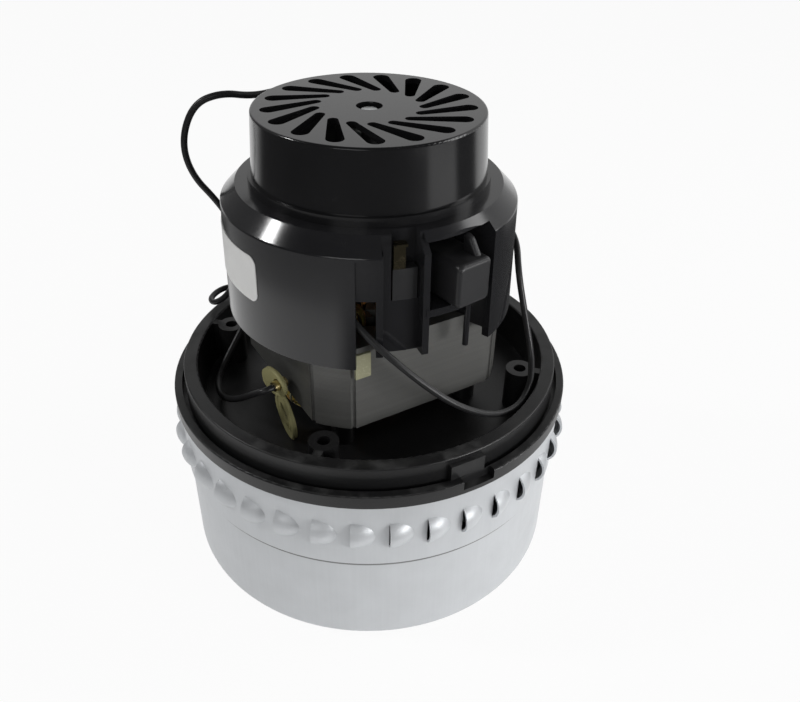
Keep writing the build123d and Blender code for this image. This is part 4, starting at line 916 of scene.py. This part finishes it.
        # ARCTAN2 gives the right half as -180 to 0, which becomes 180 to 360.
        turn = degrees + 360.0 * (1.0 - board.between(degrees, -0.001, 0.001))
        lit = 1.0 - board.between(out, *self.card)
        patches = (
            (self.left_patch, 1.0),
            (self.left_haze, 0.35),
            (self.right_stripe, 0.95),
            (self.open_side, 1.0),
        )
        for edges, share in patches:
            lit = self.most(board, lit, self.patch(board, turn, out, edges) * share)
        mirrored = board.node("ShaderNodeMixShader", inputs={0: lit, 1: dark, 2: white})
        shown = direct * self.floor_white
        viewed = board.node("ShaderNodeMixShader", inputs={0: shown, 1: matt, 2: white})
        blend = board.node("ShaderNodeMixShader", inputs={0: glossy, 1: viewed, 2: mirrored})
        board.node("ShaderNodeOutputMaterial", inputs={"Surface": blend})

    def build(self) -> None:
        """Sets the camera, the world, the floor and the lamps."""
        bpy.context.scene.view_settings.view_transform = "Standard"
        self.camera()
        self.world()
        self.floor()
        self.lamp("key_left", (-0.816, 0.012, 0.757), (0.10, 0.10), 2.5)
        self.lamp("side_right", (0.85, 0.10, 0.50), (0.30, 0.50), 1.7)
        self.lamp("low_right", (0.82, -0.56, 0.17), (0.50, 0.24), 5.2)
        self.lamp("front_fill", (-0.30, -0.90, 0.45), (0.50, 0.35), 1.0)
        LOG.info("studio ready")


# ---------------------------------------------------------------------------
# Leads
# ---------------------------------------------------------------------------


@dataclass
class Leads:
    """The two free leads. A route's points are (radius, angle, height)."""

    wire: float = 2.3
    right_length: float = 0.2477
    left_length: float = 0.2735
    right_route: tuple[Point, ...] = (
        (44.3, 263.2, 115.6),
        (47.2, 268.5, 112.0),
        (50.4, 275.9, 107.0),
        (53.3, 286.6, 97.6),
        (56.5, 299.0, 86.6),
        (59.4, 313.0, 77.6),
        (60.9, 326.5, 73.4),
        (61.0, 337.0, 74.8),
        (60.6, 341.2, 78.9),
        (59.0, 346.0, 84.5),
        (55.4, 349.5, 97.0),
        (51.8, 352.6, 111.0),
        (51.3, 363.0, 120.6),
        (52.2, 384.0, 119.5),
        (53.3, 404.0, 112.0),
        (54.6, 422.0, 102.0),
        (55.6, 435.5, 95.8),
        (56.2, 442.8, 95.2),
        (55.9, 448.3, 100.4),
        (53.2, 449.3, 106.8),
        (48.4, 448.8, 112.6),
        (42.6, 448.4, 115.4),
    )
    left_route: tuple[Point, ...] = (
        (46.6, 101.0, 149.0),
        (46.6, 101.0, 156.0),
        (45.2, 107.0, 162.0),
        (43.4, 120.0, 164.0),
        (43.6, 134.0, 162.4),
        (46.0, 149.0, 162.4),
        (52.0, 159.5, 165.2),
        (61.0, 163.0, 161.5),
        (66.2, 164.5, 149.0),
        (64.6, 163.8, 136.8),
        (57.4, 161.0, 126.5),
        (54.2, 157.0, 116.0),
        (54.4, 154.5, 103.0),
        (56.2, 156.0, 93.0),
        (60.0, 158.0, 85.2),
        (65.3, 159.6, 81.4),
        (69.6, 156.5, 80.9),
        (70.1, 149.6, 80.9),
        (65.9, 144.8, 80.9),
        (58.6, 144.9, 80.9),
        (52.8, 148.7, 80.9),
        (49.8, 156.0, 80.6),
        (49.4, 163.6, 80.2),
        (51.2, 170.6, 75.8),
        (55.4, 179.0, 68.6),
        (57.6, 188.0, 66.2),
        (57.0, 198.0, 67.0),
        (54.8, 207.4, 71.0),
        (52.4, 215.0, 76.0),
        (51.2, 221.4, 80.6),
        (49.6, 225.1, 82.4),
        (46.5, 225.3, 82.4),
    )

    def lead(self, route: tuple[Point, ...], name: str, node: str) -> None:
        """Args:
            route: its control points.
            name: the piece's name.
            node: the solid that it stands for.
        """
        points = [at(*spot) for spot in route]
        piece = Bench.line(points, self.wire * MM, False, 5, 10, name)
        piece.data.materials.append(WIRE_COVER.material())
        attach(piece, "frame")
        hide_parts(node)
        tuple(at(*route[0]))
        LOG.info("%s: %d control points", name, len(route))

    def build(self) -> None:
        """Makes both leads."""
        self.lead(self.right_route, "lead_right", "lead_wire_right")
        self.lead(self.left_route, "lead_left", "lead_wire_left")


# ---------------------------------------------------------------------------
# Windings
# ---------------------------------------------------------------------------


@dataclass
class FieldCoils:
    """Two saddle coils of varnished wire, laced with cord, in the stator's slots."""

    pole_turn: float = 209.3
    slot_from: float = 27.5
    slot_to: float = 30.9
    end_to: float = 35.2
    side_from: float = 31.0
    side_to: float = 57.0
    end_height: float = 8.4
    first_rise: float = 1.4
    crown_span: float = 32.0
    rows: int = 5
    columns: int = 6
    wire: float = 1.05
    cord: float = 0.8
    knots: tuple[float, ...] = (-24.0, -8.0, 8.0, 24.0)

    def turn_points(self, middle: float, row: int, column: int, rng: random.Random) -> list[Vector]:
        """Control points of one turn of wire.

        Args:
            middle: the pole's angle.
            row: place of the turn outward from the rotor.
            column: place of the turn away from the pole.
            rng: source of the small unevenness.

        Returns:
            The points of the closed loop.
        """
        deep = row / (self.rows - 1)
        wide = column / (self.columns - 1)
        side = self.side_from + wide * (self.side_to - self.side_from) + rng.uniform(-0.5, 0.5)
        slot_r = self.slot_from + deep * (self.slot_to - self.slot_from) + rng.uniform(-0.1, 0.1)
        crown_r = self.slot_from + deep * (self.end_to - self.slot_from) + rng.uniform(-0.2, 0.2)
        higher = wide * (self.end_height - self.first_rise)
        rise = self.first_rise + higher + rng.uniform(-0.25, 0.25)
        points = []
        for sign, edge, other in ((1, CORE_HIGH, CORE_LOW), (-1, CORE_LOW, CORE_HIGH)):
            for step in range(-4, 5):
                share = step / 4 * sign
                bow = math.cos(share * math.pi / 2)
                spread = min(1.0, abs(share) * side / self.crown_span)
                radius = slot_r + (crown_r - slot_r) * max(0.0, 1.0 - spread) ** 0.5
                height = edge + sign * (rise * (0.55 + 0.45 * bow))
                points.append(at(radius, middle + share * side, height))
            for share in (0.25, 0.5, 0.75):
                height = edge + (other - edge) * share
                points.append(at(slot_r, middle + sign * side, height))
        return points

    def coil(self, middle: float, name: str, node: str) -> None:
        """Winds one coil.

        Args:
            middle: the pole's angle.
            name: the piece's name.
            node: the solid that it stands for.
        """
        rng = random.Random(int(middle))
        strands = [
            Bench.strand(self.turn_points(middle, row, column, rng), self.wire, True, 1)
            for row in range(self.rows)
            for column in range(self.columns)
        ]
        piece = Bench.bundle(strands, name, FIELD_WIRE)
        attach(piece, "frame")
        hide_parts(node)

    @staticmethod
    def squared(wave: float) -> float:
        """A sine or cosine made fuller, so that a ring of them comes near a rectangle."""
        return math.copysign(abs(wave) ** 0.6, wave)

    def lacing(self, middle: float, name: str) -> None:
        """Loops of cord that tie a coil's end turns.

        Args:
            middle: the pole's angle.
            name: the piece's name.
        """
        loops = []
        for sign, edge in ((1, CORE_HIGH), (-1, CORE_LOW)):
            for turn in self.knots:
                centre = edge + sign * (self.end_height / 2 + 0.6)
                half_h = self.end_height / 2 - 0.2
                bulge = self.end_to if abs(turn) < 20 else self.slot_to + 1.2
                mid_r = (self.slot_from + bulge) / 2
                half_r = (bulge - self.slot_from) / 2 + 0.7
                ring = []
                for step in range(12):
                    swing = math.radians(step * 30.0)
                    lean = 1.4 * math.sin(swing)
                    out = mid_r + half_r * self.squared(math.cos(swing))
                    up = half_h * self.squared(math.sin(swing))
                    ring.append(at(out, middle + turn + lean, centre + up))
                loops.append(Bench.strand(ring, self.cord, True, 1))
        piece = Bench.bundle(loops, name, FIBRE)
        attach(piece, "frame")

    def build(self) -> None:
        """Winds and laces both coils."""
        self.coil(self.pole_turn, "field_winding_left", "field_coil_left")
        self.coil(self.pole_turn + 180, "field_winding_right", "field_coil_right")
        self.lacing(self.pole_turn, "coil_lacing_left")
        self.lacing(self.pole_turn + 180, "coil_lacing_right")


@dataclass
class RotorWinding:
    """Lap winding of the armature: slot sides, crossed end turns and the leads to the risers."""

    slots: int = 22
    span: int = 10
    slot_r: float = 17.2
    side_radii: tuple[float, ...] = (14.4, 15.7, 17.0, 18.3)
    layers: int = 4
    wire: float = 1.15
    tail_wire: float = 0.9
    tail: tuple[Point, ...] = ((15.6, -22.0, 109.4), (13.2, -12.0, 112.4), (12.0, -4.0, 114.6))
    riser_z: float = 118.0
    riser_r: float = 13.3

    def end_turn(self, start: float, layer: int, sign: int) -> list[Vector]:
        """Control points of one end turn.

        Args:
            start: angle of the slot that it leaves.
            layer: its place outward in the crossing bundle.
            sign: 1 at the commutator's end and -1 at the other.

        Returns:
            The points of the open line.
        """
        edge = CORE_HIGH if sign > 0 else CORE_LOW
        sweep = 360.0 / self.slots * self.span
        points = [at(self.slot_r, start, edge - sign * 1.5)]
        for step in range(7):
            share = step / 6
            bow = math.sin(share * math.pi)
            radius = self.slot_r + 1.6 - (8.0 - 1.7 * layer) * bow
            height = edge + sign * (1.0 + (1.2 + 1.25 * layer) * (0.35 + 0.65 * bow))
            points.append(at(radius, start + sweep * share, height))
        points.append(at(self.slot_r, start + sweep, edge - sign * 1.5))
        return points

    def build(self) -> None:
        """Winds the rotor as one piece that turns with it."""
        pitch = 360.0 / self.slots
        strands = []
        for slot in range(self.slots):
            start = slot * pitch
            for radius in self.side_radii:
                side = [at(radius, start, height) for height in (CORE_LOW - 1, 90.0, CORE_HIGH + 1)]
                strands.append(Bench.strand(side, self.wire, False, 1))
            for sign in (1, -1):
                crossing = self.end_turn(start, slot % self.layers, sign)
                strands.append(Bench.strand(crossing, self.wire, False, 1))
            for shift in (0.0, pitch / 2):
                tail = [at(out, start + shift + turn, height) for out, turn, height in self.tail]
                tail.append(at(self.riser_r, start, self.riser_z))
                strands.append(Bench.strand(tail, self.tail_wire, False, 1))
        piece = Bench.bundle(strands, "rotor_winding", ROTOR_WIRE)
        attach(piece, "rotor")
        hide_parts("armature_winding")


@dataclass
class CoilTie:
    """Rolled edges of the varnished cloth tie that stands in the bowl.

    A rim is (across, up, half its length, half its width, lean in degrees, roll's thickness).
    """

    turn: float = 222.0
    out: float = 43.9
    height: float = 82.0
    rims: tuple[tuple[float, ...], ...] = (
        (0.0, 0.0, 5.9, 4.4, 0.0, 1.7),
        (2.5, 0.4, 2.7, 2.7, 0.0, 1.1),
        (5.4, -11.6, 8.3, 3.1, 113.0, 1.7),
        (5.4, -11.6, 5.9, 1.6, 113.0, 1.0),
    )

    def build(self) -> None:
        """Rolls the four edges and joins them."""
        outward, along = directions(self.turn)
        rng = random.Random(7)
        rolls = []
        for across, up, half_l, half_w, lean, wire in self.rims:
            ring = []
            for step in range(16):
                swing = math.radians(step * 22.5)
                flat = Vector((half_l * math.cos(swing), half_w * math.sin(swing)))
                flat.rotate(Matrix.Rotation(math.radians(lean), 2))
                wave = 0.35 * math.sin(2 * swing) + rng.uniform(-0.15, 0.15)
                spot = outward * (self.out + wave) + along * (across + flat.x)
                ring.append((spot + Vector((0.0, 0.0, self.height + up + flat.y))) * MM)
            rolls.append(Bench.strand(ring, wire, True, 2))
        piece = Bench.bundle(rolls, "tie_edges", CLOTH)
        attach(piece, "frame")


# ---------------------------------------------------------------------------
# Brush gear
# ---------------------------------------------------------------------------


@dataclass
class BrushGear:
    """Springs and braids behind the brushes, and the ramps moulded on the brush boxes."""

    brush_turn: float = 307.0
    brush_z: float = 127.0
    brush_end: float = 36.8
    wall: float = 49.8
    spring_d: float = 5.0
    spring_wire: float = 0.6
    spring_turns: int = 9
    braid: float = 1.1
    box_top: float = 134.3
    ramp_shift: float = 3.4
    ramp_half: float = 1.3
    ramp_round: float = 0.9
    ramp_corners: tuple[tuple[float, float], ...] = (
        (43.2, -1.0),
        (50.2, -1.0),
        (43.2, 5.6),
        (46.2, 4.6),
    )

    def along(self, turn: float, out: float, across: float, up: float) -> Vector:
        """Point in a brush's own directions, in metres."""
        outward, sideways = directions(turn)
        return (outward * out + sideways * across + Vector((0, 0, self.brush_z + up))) * MM

    def spring(self, turn: float, label: str) -> None:
        """Coil spring from its brush out to the wall."""
        steps = self.spring_turns * 8
        radius = self.spring_d / 2
        points = []
        for step in range(steps + 1):
            share = step / steps
            squeezed = share - 0.035 * math.sin(2 * math.pi * share)
            swing = 2 * math.pi * self.spring_turns * share
            out = self.brush_end + 0.4 + (self.wall - self.brush_end - 0.8) * squeezed
            across, up = radius * math.cos(swing), radius * math.sin(swing)
            points.append(self.along(turn, out, across, up))
        piece = Bench.strand(points, self.spring_wire, False, 1)
        Bench.finish(piece, f"pressure_spring_{label}", PLATED, Bench.WIRE_SMOOTH)
        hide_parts(f"brush_spring_{label}")
        self.stretch(piece, turn)

    def shunt(self, turn: float, label: str) -> None:
        """Slack copper braid between a brush and the end of its tube."""
        points = []
        for step in range(13):
            share = step / 12
            out = self.brush_end + (self.wall - self.brush_end) * share
            sway = 0.9 * math.sin(share * math.pi * 4) * math.sin(share * math.pi)
            points.append(self.along(turn, out, sway, -sway * 0.6))
        piece = Bench.strand(points, self.braid, False, 2)
        Bench.finish(piece, f"shunt_braid_{label}", BARS, Bench.WIRE_SMOOTH)
        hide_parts(f"brush_shunt_{label}")
        self.stretch(piece, turn)

    def stretch(self, piece: bpy.types.Object, turn: float) -> None:
        """Puts the piece's placement into its mesh. Its ends at the brush and the wall are worked
        out but not used.
        """
        start = self.along(turn, self.brush_end, 0.0, 0.0)
        end = self.along(turn, self.wall, 0.0, 0.0)
        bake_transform(piece)

    def ramp(self, turn: float, label: str) -> None:
        """Rounded ramp on a brush box, up to the shell's land."""
        Bench.clear()
        bpy.ops.mesh.primitive_cube_add(size=1.0)
        piece = bpy.context.object
        piece.name = f"box_ramp_{label}"
        for vertex in piece.data.vertices:
            across = self.ramp_shift + math.copysign(self.ramp_half, vertex.co.y)
            out, up = self.ramp_corners[2 * (vertex.co.z > 0) + (vertex.co.x > 0)]
            vertex.co = self.along(turn, out, across, self.box_top - self.brush_z + up)
        width = self.ramp_round * MM
        Bench.modify(piece, "BEVEL", width=width, segments=4, limit_method="ANGLE")
        Bench.finish(piece, f"box_ramp_{label}", BOX_PLASTIC, 35.0)
        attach(piece, "frame")

    def build(self) -> None:
        """Makes both brushes' pieces."""
        for label, turn in (("front", self.brush_turn), ("rear", self.brush_turn - 180)):
            self.spring(turn, label)
            self.shunt(turn, label)
            self.ramp(turn, label)


# ---------------------------------------------------------------------------
# Whole object
# ---------------------------------------------------------------------------


def main() -> None:
    """Builds the studio and every sub-assembly in order."""
    logging.basicConfig(level=logging.INFO, format="%(name)s: %(message)s")
    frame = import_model()
    Bench.clear()
    Studio().build()
    Leads().build()
    dress(frame["nodes"])
    FieldCoils().build()
    RotorWinding().build()
    CoilTie().build()
    BrushGear().build()
    Bench.clear()


if __name__ == "__main__":
    main()
